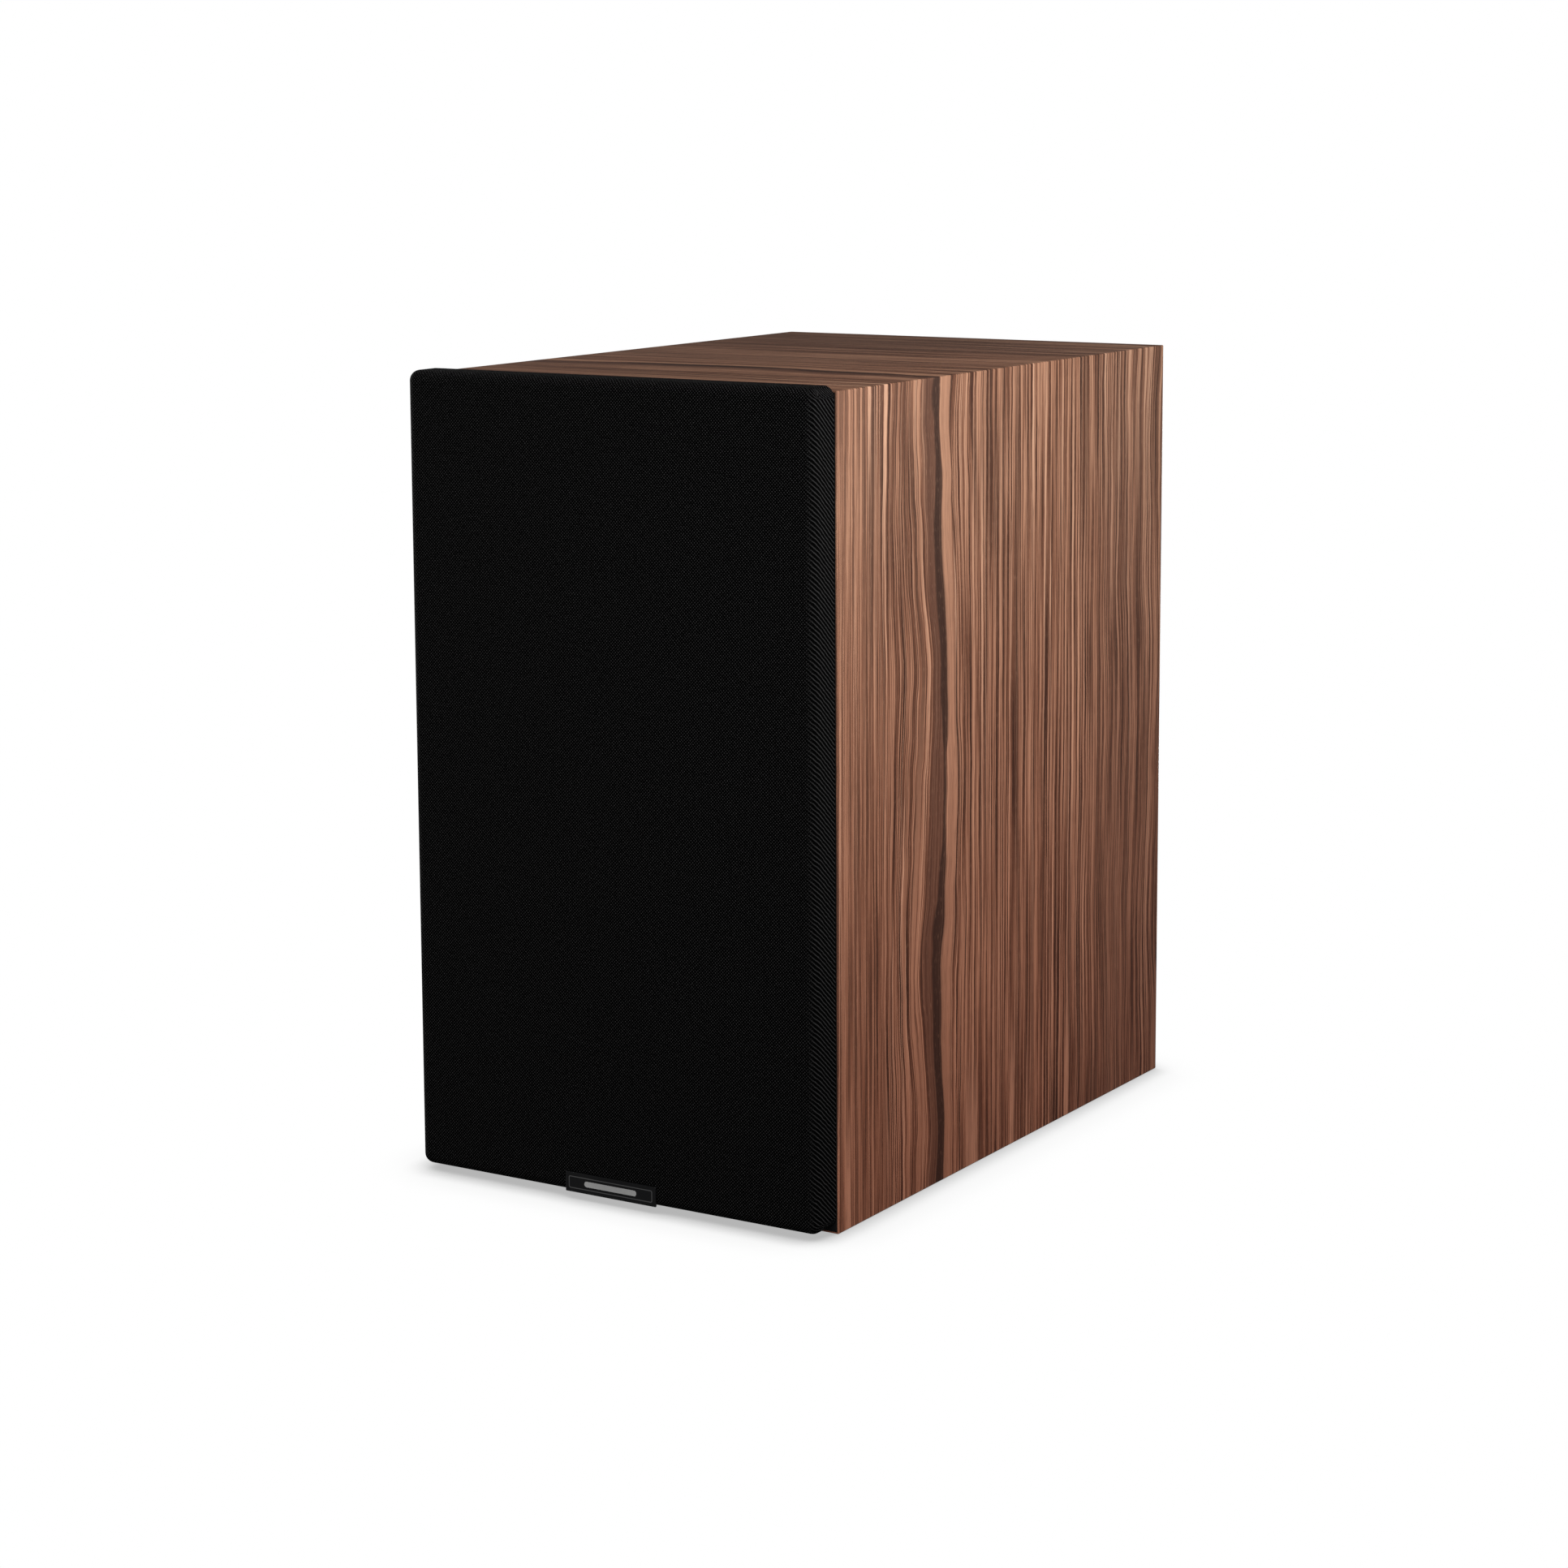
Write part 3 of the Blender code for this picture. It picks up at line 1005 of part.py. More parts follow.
def add_leads(board_seat):
    """The two leads from the board to the drivers."""
    edge_x = BOARD_SIZE[0] / 2 - LEAD_INSET
    edge_z = BOARD_SIZE[1] / 2 - LEAD_INSET
    first = board_seat - LEAD_RADIUS / 2
    second = board_seat - 6 * LEAD_RADIUS
    third = board_seat - 19 * LEAD_RADIUS
    side = INNER_HALF_WIDTH - 0.017
    woofer_side = -BASKET_FOOT_RADIUS - 2 * GAP
    woofer_end = FRONT + BASKET_DEPTH - BASKET_FOOT_HEIGHT / 2
    tube("woofer_lead", [(-edge_x, first, TERMINAL_HEIGHT - edge_z),
                         (-edge_x, second, TERMINAL_HEIGHT - edge_z),
                         (-edge_x - 0.002, third, TERMINAL_HEIGHT - edge_z + 0.003),
                         (-side + 0.016, 0.040, WOOFER_HEIGHT - 0.037),
                         (-side + 0.004, -0.020, WOOFER_HEIGHT - 0.014),
                         (-side, FRONT + WOOFER_LEAD_BEND, WOOFER_HEIGHT - 0.002),
                         (woofer_side - LEAD_REACH, woofer_end, WOOFER_HEIGHT),
                         (woofer_side, woofer_end, WOOFER_HEIGHT)], LEAD_RADIUS, LEAD_GREY,
         LEAD_STEPS)
    motor_side = TWEETER_MOTOR_RADIUS + 2 * GAP
    motor_end = BAFFLE_REAR + 0.008
    tube("tweeter_lead", [(edge_x + 0.002, first, TERMINAL_HEIGHT + edge_z),
                          (edge_x + 0.002, second, TERMINAL_HEIGHT + edge_z),
                          (edge_x + 0.003, third, TERMINAL_HEIGHT + edge_z + LEAD_CLIMB),
                          (edge_x + 0.007, 0.030, BRACE_HEIGHT - 0.030),
                          (edge_x + 0.009, -0.010, BRACE_HEIGHT),
                          (edge_x + 0.011, FRONT + LEAD_BENDS[1], BRACE_HEIGHT + 0.030),
                          (edge_x + 0.012, FRONT + LEAD_BENDS[0], TWEETER_HEIGHT - 0.004),
                          (motor_side + LEAD_REACH, motor_end, TWEETER_HEIGHT),
                          (motor_side, motor_end, TWEETER_HEIGHT)], LEAD_RADIUS, LEAD_GREY,
         LEAD_STEPS)


def add_wadding():
    """A pad of wadding on the floor of the cabinet."""
    low = INNER_BOTTOM + GAP
    box("damping_wadding", (-INNER_HALF_WIDTH + WADDING_MARGIN, WADDING_FRONT, low),
        (INNER_HALF_WIDTH - WADDING_MARGIN, BACK_INNER - WADDING_MARGIN, low + WADDING_THICKNESS),
        WADDING_WHITE, round_edge=lambda a, b: max(a.z, b.z) > low + WADDING_THICKNESS / 2,
        radius=WADDING_THICKNESS / 2, segments=3)


add_cabinet()
add_grille()
add_woofer()
add_tweeter()
add_port()
add_terminals()
add_leads(add_crossover())
add_wadding()
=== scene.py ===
"""Finished looks of a two-way bookshelf speaker: walnut veneer, black knit grille, drivers and terminals.

Metres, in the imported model's own frame: +Z up, the front faces -Y.
"""
import math

import bmesh
import bpy
from mathutils import Matrix, Vector, noise


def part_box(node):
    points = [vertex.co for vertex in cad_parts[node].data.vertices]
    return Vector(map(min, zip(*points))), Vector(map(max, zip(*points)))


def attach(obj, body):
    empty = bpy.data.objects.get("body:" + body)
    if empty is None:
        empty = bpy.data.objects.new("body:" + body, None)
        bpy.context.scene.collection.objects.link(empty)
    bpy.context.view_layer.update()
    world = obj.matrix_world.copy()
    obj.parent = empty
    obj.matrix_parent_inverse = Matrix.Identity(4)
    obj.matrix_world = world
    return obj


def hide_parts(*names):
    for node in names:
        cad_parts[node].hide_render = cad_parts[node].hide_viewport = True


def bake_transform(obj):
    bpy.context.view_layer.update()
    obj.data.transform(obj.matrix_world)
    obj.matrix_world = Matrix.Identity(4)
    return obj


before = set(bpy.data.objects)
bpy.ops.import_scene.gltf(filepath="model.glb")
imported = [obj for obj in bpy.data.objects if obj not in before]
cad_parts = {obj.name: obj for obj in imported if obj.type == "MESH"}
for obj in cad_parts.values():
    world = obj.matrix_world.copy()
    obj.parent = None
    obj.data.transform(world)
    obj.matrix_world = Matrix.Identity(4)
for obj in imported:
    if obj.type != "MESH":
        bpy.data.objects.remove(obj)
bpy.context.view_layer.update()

# ---------------------------------------------------------------- camera and studio
CAMERA_PLACE = (0.81673, -1.33816, 0.45488)
CAMERA_AZIMUTH = math.radians(31.852)
CAMERA_ELEVATION = math.radians(8.483)
CAMERA_ROLL = math.radians(-0.2701)
CAMERA_LENS = 82.325
CAMERA_RISE = -0.10

AMBIENT = 0.072              # brightness of the room on the object
# Reaches of the floor's painted shadow: ambient occlusion dims the floor's white glow near the object.
WIDE_PAINTED_SHADOW = 0.035           # reach of the soft shadow on the floor
CLOSE_PAINTED_SHADOW = 0.012          # reach of the dark line where the object meets it
SOFT_BOXES = (               # name, place, aim, width, height, power
    ("key_box", (0.50, -0.05, 0.47), (0.10, -0.01, 0.30), 0.60, 0.24, 2.85),
    ("front_box", (0.5, -1.9, 0.75), (0.0, -0.1, 0.17), 1.0, 0.8, 9),
    ("left_box", (-1.4, 0.1, 0.55), (-0.1, 0.0, 0.17), 1.0, 0.9, 20),
    ("back_box", (-0.45, 1.7, 0.05), (0.0, 0.1, 0.17), 0.7, 0.5, 16),
)


def place_camera():
    """A long lens to the right of the front, raised a little with the lens shifted."""
    cos_a, sin_a = math.cos(CAMERA_AZIMUTH), math.sin(CAMERA_AZIMUTH)
    cos_e, sin_e = math.cos(CAMERA_ELEVATION), math.sin(CAMERA_ELEVATION)
    back = Vector((sin_a * cos_e, -cos_a * cos_e, sin_e))
    right = Vector((cos_a, sin_a, 0))
    up = back.cross(right)
    rolled_right = right * math.cos(CAMERA_ROLL) + up * math.sin(CAMERA_ROLL)
    rolled_up = up * math.cos(CAMERA_ROLL) - right * math.sin(CAMERA_ROLL)
    lens = bpy.data.cameras.new("product_camera")
    lens.lens = CAMERA_LENS
    lens.shift_y = CAMERA_RISE
    camera = bpy.data.objects.new("product_camera", lens)
    axes = Matrix((rolled_right, rolled_up, back)).transposed()
    camera.matrix_world = Matrix.Translation(CAMERA_PLACE) @ axes.to_4x4()
    bpy.context.scene.collection.objects.link(camera)
    bpy.context.scene.camera = camera


def soft_box(name, place, aim, width, height, power):
    """A rectangular studio light aimed at a point."""
    light = bpy.data.lights.new(name, "AREA")
    light.shape = "RECTANGLE"
    light.size = width
    light.size_y = height
    light.energy = power
    obj = bpy.data.objects.new(name, light)
    obj.location = place
    obj.rotation_euler = (Vector(aim) - Vector(place)).to_track_quat("-Z", "Y").to_euler()
    obj.visible_camera = False
    bpy.context.scene.collection.objects.link(obj)


def build_studio():
    """A near key box at the upper right, weaker boxes all round, a white room and a glowing white floor with
    a painted shadow.
    """
    bpy.context.scene.view_settings.view_transform = "Standard"
    world = bpy.data.worlds.new("studio")
    world.use_nodes = True
    bpy.context.scene.world = world
    n = Nodes(world.node_tree)
    seen = n.add("LightPath").outputs["Is Camera Ray"]
    n.feed(world.node_tree.nodes["Background"].inputs["Color"], (1, 1, 1, 1))
    n.feed(world.node_tree.nodes["Background"].inputs["Strength"],
           n.spread(seen, 0.0, 1.0, AMBIENT, 1.0))
    for name, place, aim, width, height, power in SOFT_BOXES:
        soft_box(name, place, aim, width, height, power)
    bm = bmesh.new()
    bmesh.ops.create_grid(bm, x_segments=1, y_segments=1, size=20.0)
    floor = linked("studio_floor", mesh_from(bm, "studio_floor"))
    floor.visible_diffuse = False
    floor.visible_glossy = False
    floor.visible_shadow = False
    white = bpy.data.materials.new("studio_white")
    white.use_nodes = True
    n = Nodes(white.node_tree)
    white.node_tree.nodes.remove(white.node_tree.nodes["Principled BSDF"])
    # Painted shadow: ambient occlusion dims the floor's white glow near the object, as a soft shadow and a
    # dark contact line.
    wide = n.add("AmbientOcclusion", {"Distance": WIDE_PAINTED_SHADOW}, samples=12).outputs["AO"]
    close = n.add("AmbientOcclusion", {"Distance": CLOSE_PAINTED_SHADOW}, samples=12).outputs["AO"]
    shadow = n.math("MULTIPLY", n.spread(wide, 0.35, 0.92, 0.84, 1.0),
                    n.spread(close, 0.3, 0.95, 0.55, 1.0))
    glow = n.add("Emission", {"Color": (1, 1, 1, 1), "Strength": shadow})
    n.feed(white.node_tree.nodes["Material Output"].inputs["Surface"], glow.outputs[0])
    floor.data.materials.append(white)


# ---------------------------------------------------------------- mesh helpers
def mesh_from(bm, name):
    """Turn a bmesh into a mesh."""
    mesh = bpy.data.meshes.new(name)
    bm.to_mesh(mesh)
    bm.free()
    return mesh


def linked(name, mesh):
    """An object for a mesh, in the scene."""
    obj = bpy.data.objects.new(name, mesh)
    bpy.context.scene.collection.objects.link(obj)
    return obj


def shade(obj, angle=30):
    """Smooth shading that keeps edges sharper than the angle."""
    obj.data.shade_smooth()
    obj.data.set_sharp_from_angle(angle=math.radians(angle))


def applied(obj, angle=30):
    """Apply an object's modifiers and shade it."""
    bpy.context.view_layer.update()
    graph = bpy.context.evaluated_depsgraph_get()
    mesh = bpy.data.meshes.new_from_object(obj.evaluated_get(graph))
    obj.modifiers.clear()
    obj.data = mesh
    shade(obj, angle)
    return obj


def cut_by(obj, cutters):
    """Take cutters out of a piece and remove them."""
    for cutter in cutters:
        boolean = obj.modifiers.new("Cut", "BOOLEAN")
        boolean.operation = "DIFFERENCE"
        boolean.solver = "EXACT"
        boolean.object = cutter
    bpy.context.view_layer.update()
    graph = bpy.context.evaluated_depsgraph_get()
    mesh = bpy.data.meshes.new_from_object(obj.evaluated_get(graph))
    obj.modifiers.clear()
    obj.data = mesh
    for cutter in cutters:
        bpy.data.objects.remove(cutter, do_unlink=True)


def fuse(obj, others):
    """Join shapes on to a piece and remove them."""
    for other in others:
        boolean = obj.modifiers.new("Join", "BOOLEAN")
        boolean.operation = "UNION"
        boolean.solver = "EXACT"
        boolean.object = other
    bpy.context.view_layer.update()
    graph = bpy.context.evaluated_depsgraph_get()
    mesh = bpy.data.meshes.new_from_object(obj.evaluated_get(graph))
    obj.modifiers.clear()
    obj.data = mesh
    for other in others:
        bpy.data.objects.remove(other, do_unlink=True)


def soften(obj, width, segments=2, angle=40):
    """Round the edges that are sharper than the angle, then apply."""
    bevel = obj.modifiers.new("Soft edges", "BEVEL")
    bevel.width = width
    bevel.segments = segments
    bevel.limit_method = "ANGLE"
    bevel.angle_limit = math.radians(angle)
    bevel.harden_normals = False
    return applied(obj)


def block(name, low, high):
    """A box between two corners, with its vertices in the model's frame."""
    low = Vector(low)
    high = Vector(high)
    bm = bmesh.new()
    bmesh.ops.create_cube(bm, size=1.0)
    bmesh.ops.scale(bm, vec=high - low, verts=bm.verts)
    bmesh.ops.translate(bm, vec=(low + high) / 2, verts=bm.verts)
    return linked(name, mesh_from(bm, name))


def facing(centre, forward=True):
    """Matrix that puts local +Z along the front (-Y) or the back (+Y) at a centre."""
    return Matrix.Translation(centre) @ Matrix.Rotation(
        math.radians(90 if forward else -90), 4, "X")


def spun(name, profile, centre, forward=True, steps=96, angle=30, closed=True, upright=False):
    """A turned piece: (radius, height) points run down its outer side, about local Z."""
    bm = bmesh.new()
    points = [bm.verts.new((max(radius, 0), 0, height)) for radius, height in profile]
    edges = [bm.edges.new(pair) for pair in zip(points, points[1:])]
    if closed:
        edges.append(bm.edges.new((points[-1], points[0])))
    bmesh.ops.spin(bm, geom=points + edges, cent=(0, 0, 0), axis=(0, 0, 1),
                   angle=2 * math.pi, steps=steps, use_merge=True)
    bmesh.ops.remove_doubles(bm, verts=bm.verts, dist=1e-6)
    bmesh.ops.dissolve_degenerate(bm, dist=1e-7, edges=bm.edges)
    bmesh.ops.recalc_face_normals(bm, faces=bm.faces)
    turn = Matrix.Translation(centre) if upright else facing(centre, forward)
    bmesh.ops.transform(bm, matrix=turn, verts=bm.verts)
    obj = linked(name, mesh_from(bm, name))
    shade(obj, angle)
    return obj


def drum(name, centre, radius, low, high, forward=True, sides=96):
    """A cylinder from low to high along local Z, used to cut round holes."""
    bm = bmesh.new()
    bmesh.ops.create_cone(bm, cap_ends=True, segments=sides, radius1=radius, radius2=radius,
                          depth=high - low)
    bmesh.ops.translate(bm, vec=(0, 0, (low + high) / 2), verts=bm.verts)
    bmesh.ops.transform(bm, matrix=facing(centre, forward), verts=bm.verts)
    return linked(name, mesh_from(bm, name))


def plate(name, outline, low, high, matrix):
    """A flat outline in local XY, extruded from low to high, placed by a matrix."""
    bm = bmesh.new()
    rim = [bm.verts.new((x, y, low)) for x, y in outline]
    face = bm.faces.new(rim)
    raised = bmesh.ops.extrude_face_region(bm, geom=[face])["geom"]
    tops = [item for item in raised if isinstance(item, bmesh.types.BMVert)]
    bmesh.ops.translate(bm, vec=(0, 0, high - low), verts=tops)
    bmesh.ops.recalc_face_normals(bm, faces=bm.faces)
    bmesh.ops.transform(bm, matrix=matrix, verts=bm.verts)
    return linked(name, mesh_from(bm, name))


def round_rectangle(half_x, half_y, radius, steps=10):
    """Outline of a rectangle with round corners about the middle."""
    outline = []
    for quarter, (x, y) in enumerate(((1, 1), (-1, 1), (-1, -1), (1, -1))):
        for step in range(steps + 1):
            angle = math.pi / 2 * (quarter + step / steps)
            outline.append((x * (half_x - radius) + radius * math.cos(angle),
                            y * (half_y - radius) + radius * math.sin(angle)))
    return outline


def arc(centre, radius, start, end, steps):
    """Points along an arc, angles in degrees."""
    angles = [math.radians(start + (end - start) * step / steps) for step in range(steps + 1)]
    return [(centre[0] + radius * math.cos(angle), centre[1] + radius * math.sin(angle))
            for angle in angles]


def middle(node):
    """Centre of a CAD node's box."""
    low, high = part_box(node)
    return (low + high) / 2


def front_of(node):
    """Centre of a CAD node's box, moved to its front."""
    low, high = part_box(node)
    return Vector(((low.x + high.x) / 2, low.y, (low.z + high.z) / 2))


def back_of(node):
    """Centre of a CAD node's box, moved to its back."""
    low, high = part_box(node)
    return Vector(((low.x + high.x) / 2, high.y, (low.z + high.z) / 2))


def dome(radius, rise, base, steps=16):
    """Points of a round cap from its top on the axis down to its rim."""
    sphere = (radius ** 2 + rise ** 2) / (2 * rise)
    widest = math.asin(radius / sphere)
    angles = [widest * step / steps for step in range(steps + 1)]
    return [(sphere * math.sin(angle), base + rise - sphere + sphere * math.cos(angle))
            for angle in angles]


def roll(outer_lip, outer, inner, inner_lip, base, thickness, steps=20):
    """A half-round surround between two flat lips, standing up from its base."""
    centre = (outer + inner) / 2
    under = (outer - inner - thickness) / 2
    over = (outer - inner + thickness) / 2
    start = math.degrees(math.asin(thickness / over))
    points = [(outer_lip, base + thickness), (outer_lip, base)]
    points += arc((centre, base), under, 0, 180, steps)
    points += [(inner_lip, base), (inner_lip, base + thickness)]
    points += arc((centre, base), over, 180 - start, start, steps)
    return points


def settle(piece, body, material, slot, *nodes):
    """Give a piece its material and its body, and hide the CAD nodes it stands for. The slot is not used."""
    piece.data.materials.clear()
    piece.data.materials.append(material)
    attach(piece, body)
    if nodes:
        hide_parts(*nodes)
    return piece


# ---------------------------------------------------------------- shader nodes
class Nodes:
    """Adds joined nodes to one material or effect."""

    def __init__(self, tree):
        self.tree = tree

    def feed(self, socket, value):
        """Join an output to a socket, or set the socket's own value."""
        if isinstance(value, bpy.types.NodeSocket):
            self.tree.links.new(value, socket)
        else:
            socket.default_value = value

    def add(self, kind, values=None, **settings):
        """A node with its settings and its inputs' values."""
        made = self.tree.nodes.new("ShaderNode" + kind)
        for key, value in settings.items():
            setattr(made, key, value)
        for socket, value in (values or {}).items():
            self.feed(made.inputs[socket], value)
        return made

    def math(self, operation, *values):
        """A Math node's result."""
        return self.add("Math", dict(enumerate(values)), operation=operation).outputs[0]

    def spread(self, value, low, high, to_low=0.0, to_high=1.0, kind="LINEAR"):
        """A value from low..high carried to another span and held inside it."""
        made = self.add("MapRange", {"Value": value, "From Min": low, "From Max": high,
                                     "To Min": to_low, "To Max": to_high},
                        interpolation_type=kind)
        return made.outputs["Result"]

    def blend(self, share, first, second, kind="MIX"):
        """One colour mixed into another."""
        made = self.add("Mix", {0: share, 6: first, 7: second}, data_type="RGBA",
                        blend_type=kind)
        return made.outputs[2]

    def noise(self, place, scale, detail=2.0, roughness=0.5):
        """Smooth noise from 0 to 1."""
        made = self.add("TexNoise", {"Vector": place, "Scale": scale, "Detail": detail,
                                     "Roughness": roughness})
        return made.outputs["Fac"]

    def spots(self, place, scale):
        """Distance to the nearest of many scattered points."""
        made = self.add("TexVoronoi", {"Vector": place, "Scale": scale})
        return made.outputs["Distance"]

    def parts(self, vector):
        """The three parts of a vector."""
        return self.add("SeparateXYZ", {0: vector}).outputs

    def vector(self, x, y, z=0.0):
        """A vector from three parts."""
        return self.add("CombineXYZ", {0: x, 1: y, 2: z}).outputs[0]

    def place(self):
        """Where a point is on the piece itself."""
        return self.add("TexCoord").outputs["Object"]

    def mark(self, name):
        """A vector kept on the piece's points."""
        return self.add("Attribute", attribute_name=name).outputs["Vector"]

    def effect(self, tree, **values):
        """A shared effect placed with its own values."""
        made = self.tree.nodes.new("ShaderNodeGroup")
        made.node_tree = tree
        for socket, value in values.items():
            self.feed(made.inputs[socket], value)
        return made.outputs


def new_effect(name, takes, gives):
    """A shared effect: its tree, nodes, named inputs and its output sockets."""
    tree = bpy.data.node_groups.new(name, "ShaderNodeTree")
    kinds = {"value": "NodeSocketFloat", "vector": "NodeSocketVector",
             "colour": "NodeSocketColor"}
    for socket, (kind, value) in takes.items():
        made = tree.interface.new_socket(socket, in_out="INPUT", socket_type=kinds[kind])
        if value is not None:
            made.default_value = value
    for socket, kind in gives.items():
        tree.interface.new_socket(socket, in_out="OUTPUT", socket_type=kinds[kind])
    inputs = tree.nodes.new("NodeGroupInput").outputs
    outputs = tree.nodes.new("NodeGroupOutput").inputs
    return tree, Nodes(tree), inputs, outputs


def make_fine_relief():
    """Small even relief, such as moulded texture, cast skin or paper fibre."""
    tree, n, takes, gives = new_effect(
        "fine_relief", {"Place": ("vector", None), "Scale": ("value", 2000.0),
                        "Coarse": ("value", 200.0), "Share": ("value", 0.3)},
        {"Height": "value"})
    fine = n.noise(takes["Place"], takes["Scale"], 3.0, 0.6)
    coarse = n.noise(takes["Place"], takes["Coarse"], 2.0, 0.5)
    kept = n.math("MULTIPLY", fine, n.math("SUBTRACT", 1.0, takes["Share"]))
    height = n.math("ADD", kept, n.math("MULTIPLY", coarse, takes["Share"]))
    n.feed(gives["Height"], height)
    return tree


def make_uneven_gloss():
    """Roughness that drifts where hands and cloths have been."""
    tree, n, takes, gives = new_effect(
        "uneven_gloss", {"Place": ("vector", None), "Base": ("value", 0.4),
                         "Drift": ("value", 0.08)}, {"Roughness": "value"})
    broad = n.noise(takes["Place"], 38.0, 3.0, 0.55)
    fine = n.noise(takes["Place"], 420.0, 2.0, 0.6)
    both = n.math("ADD", n.math("MULTIPLY", broad, 0.7), n.math("MULTIPLY", fine, 0.3))
    centred = n.math("SUBTRACT", both, 0.5)
    swing = n.math("MULTIPLY", n.math("MULTIPLY", centred, 4.0), takes["Drift"])
    n.feed(gives["Roughness"], n.math("ADD", takes["Base"], swing))
    return tree


def make_dust():
    """Sparse pale specks of lint and dust."""
    tree, n, takes, gives = new_effect(
        "settled_dust", {"Place": ("vector", None), "Colour": ("colour", None),
                         "Spacing": ("value", 260.0), "Amount": ("value", 0.35)},
        {"Colour": "colour", "Mask": "value"})
    distance = n.spots(takes["Place"], takes["Spacing"])
    chosen = n.spread(n.noise(takes["Place"], 90.0, 2.0), 0.52, 0.72)
    speck = n.spread(distance, 0.05, 0.13, 1.0, 0.0)
    mask = n.math("MULTIPLY", n.math("MULTIPLY", speck, chosen), takes["Amount"])
    n.feed(gives["Mask"], mask)
    n.feed(gives["Colour"], n.blend(mask, takes["Colour"], (0.42, 0.40, 0.37, 1)))
    return tree


def make_turned_lines():
    """Fine concentric tool lines about an axis along Y through a centre, as height."""
    tree, n, takes, gives = new_effect(
        "turned_lines", {"Place": ("vector", None), "Centre": ("vector", None),
                         "Pitch": ("value", 0.0004)}, {"Height": "value", "Radius": "value"})
    away = n.add("VectorMath", {0: takes["Place"], 1: takes["Centre"]},
                 operation="SUBTRACT").outputs[0]
    flat = n.add("VectorMath", {0: away, 1: (1.0, 0.0, 1.0)}, operation="MULTIPLY").outputs[0]
    radius = n.add("VectorMath", {0: flat}, operation="LENGTH").outputs["Value"]
    wave = n.math("SINE", n.math("MULTIPLY", n.math("DIVIDE", radius, takes["Pitch"]), math.tau))
    n.feed(gives["Height"], n.math("MULTIPLY_ADD", wave, 0.5, 0.5))
    n.feed(gives["Radius"], radius)
    return tree


CLOTH_GROUND = (0.0008, 0.0008, 0.0008, 1)
# Painted highlight: the loop and thread colours are lighter than the ground, the knit's pattern with lit
# yarn painted on it.
CLOTH_LOOP_HIGHLIGHT = (0.0760, 0.0740, 0.0750, 1)
CLOTH_THREAD_HIGHLIGHT = (0.0420, 0.0410, 0.0410, 1)
CLOTH_FLUFF = (0.050, 0.049, 0.048, 1)
THREAD_LEAN = (0.6, 0.7)     # turns of the slanting threads for one loop across and one along


def make_knit():
    """Black knitted grille cloth: staggered loops that lie over into slanting threads at its sides, their
    lighter tops a painted highlight.
    """
    tree, n, takes, gives = new_effect(
        "grille_knit", {"Lay": ("vector", None), "Pitch": ("value", 0.0012),
                        "Side": ("value", 0.0955)},
        {"Colour": "colour", "Height": "value", "Roughness": "value"})
    across, along, _ = n.parts(takes["Lay"])
    wobble = n.math("MULTIPLY", n.math("SUBTRACT", n.noise(takes["Lay"], 300.0, 1.0), 0.5), 0.35)
    u = n.math("ADD", n.math("DIVIDE", across, takes["Pitch"]), wobble)
    v = n.math("ADD", n.math("DIVIDE", along, takes["Pitch"]), wobble)
    wave_u = n.math("COSINE", n.math("MULTIPLY", u, math.tau))
    wave_v = n.math("COSINE", n.math("MULTIPLY", v, math.tau))
    loops = n.math("MULTIPLY", wave_u, wave_v)
    leaning = n.math("ADD", n.math("MULTIPLY", u, THREAD_LEAN[0]),
                     n.math("MULTIPLY", v, THREAD_LEAN[1]))
    slant = n.math("COSINE", n.math("MULTIPLY", leaning, math.tau))
    side = n.spread(n.math("SUBTRACT", n.math("ABSOLUTE", across), takes["Side"]), -0.0012, 0.0022)
    yarn = n.noise(n.vector(n.math("MULTIPLY", u, 6.0), n.math("MULTIPLY", v, 2.0)), 1.0, 2.0)
    patchy = n.spread(n.noise(takes["Lay"], 700.0, 2.0), 0.32, 0.68, 0.45, 1.25)
    # Painted highlight: the loops' tops and the slanting threads at the sides are lightened.
    loop_highlight = n.math("MULTIPLY", n.spread(loops, 0.20, 0.85), patchy)
    threads = n.math("MULTIPLY", n.spread(slant, 0.30, 0.90), n.math("MULTIPLY_ADD", patchy, 0.4, 0.5))
    tone = n.blend(loop_highlight, CLOTH_GROUND, CLOTH_LOOP_HIGHLIGHT)
    side_highlight_tone = n.blend(threads, CLOTH_GROUND, CLOTH_THREAD_HIGHLIGHT)
    fluff = n.spread(n.spots(takes["Lay"], 420.0), 0.03, 0.09, 0.22, 0.0)
    n.feed(gives["Colour"], n.blend(fluff, n.blend(side, tone, side_highlight_tone), CLOTH_FLUFF))
    height = n.add("Mix", {0: side, 2: n.spread(loops, -0.35, 0.95), 3: n.spread(slant, -0.6, 1.0)})
    n.feed(gives["Height"], n.math("MULTIPLY_ADD", yarn, 0.25, height.outputs[0]))
    n.feed(gives["Roughness"], n.spread(yarn, 0.3, 0.7, 0.72, 0.92))
    return tree


def make_winding():
    """Rows of round wire laid side by side: height and a mask of painted shade in the grooves, from one
    length.
    """
    tree, n, takes, gives = new_effect(
        "wire_rows", {"Length": ("value", None), "Pitch": ("value", 0.0008)},
        {"Height": "value", "GrooveShade": "value"})
    turns = n.math("DIVIDE", takes["Length"], takes["Pitch"])
    inside = n.math("SUBTRACT", n.math("FRACT", turns), 0.5)
    squared = n.math("MULTIPLY", n.math("MULTIPLY", inside, inside), 4.0)
    height = n.math("SQRT", n.math("MAXIMUM", n.math("SUBTRACT", 1.0, squared), 0.0))
    n.feed(gives["Height"], height)
    n.feed(gives["GrooveShade"], n.spread(height, 0.0, 0.55, 1.0, 0.0))
    return tree


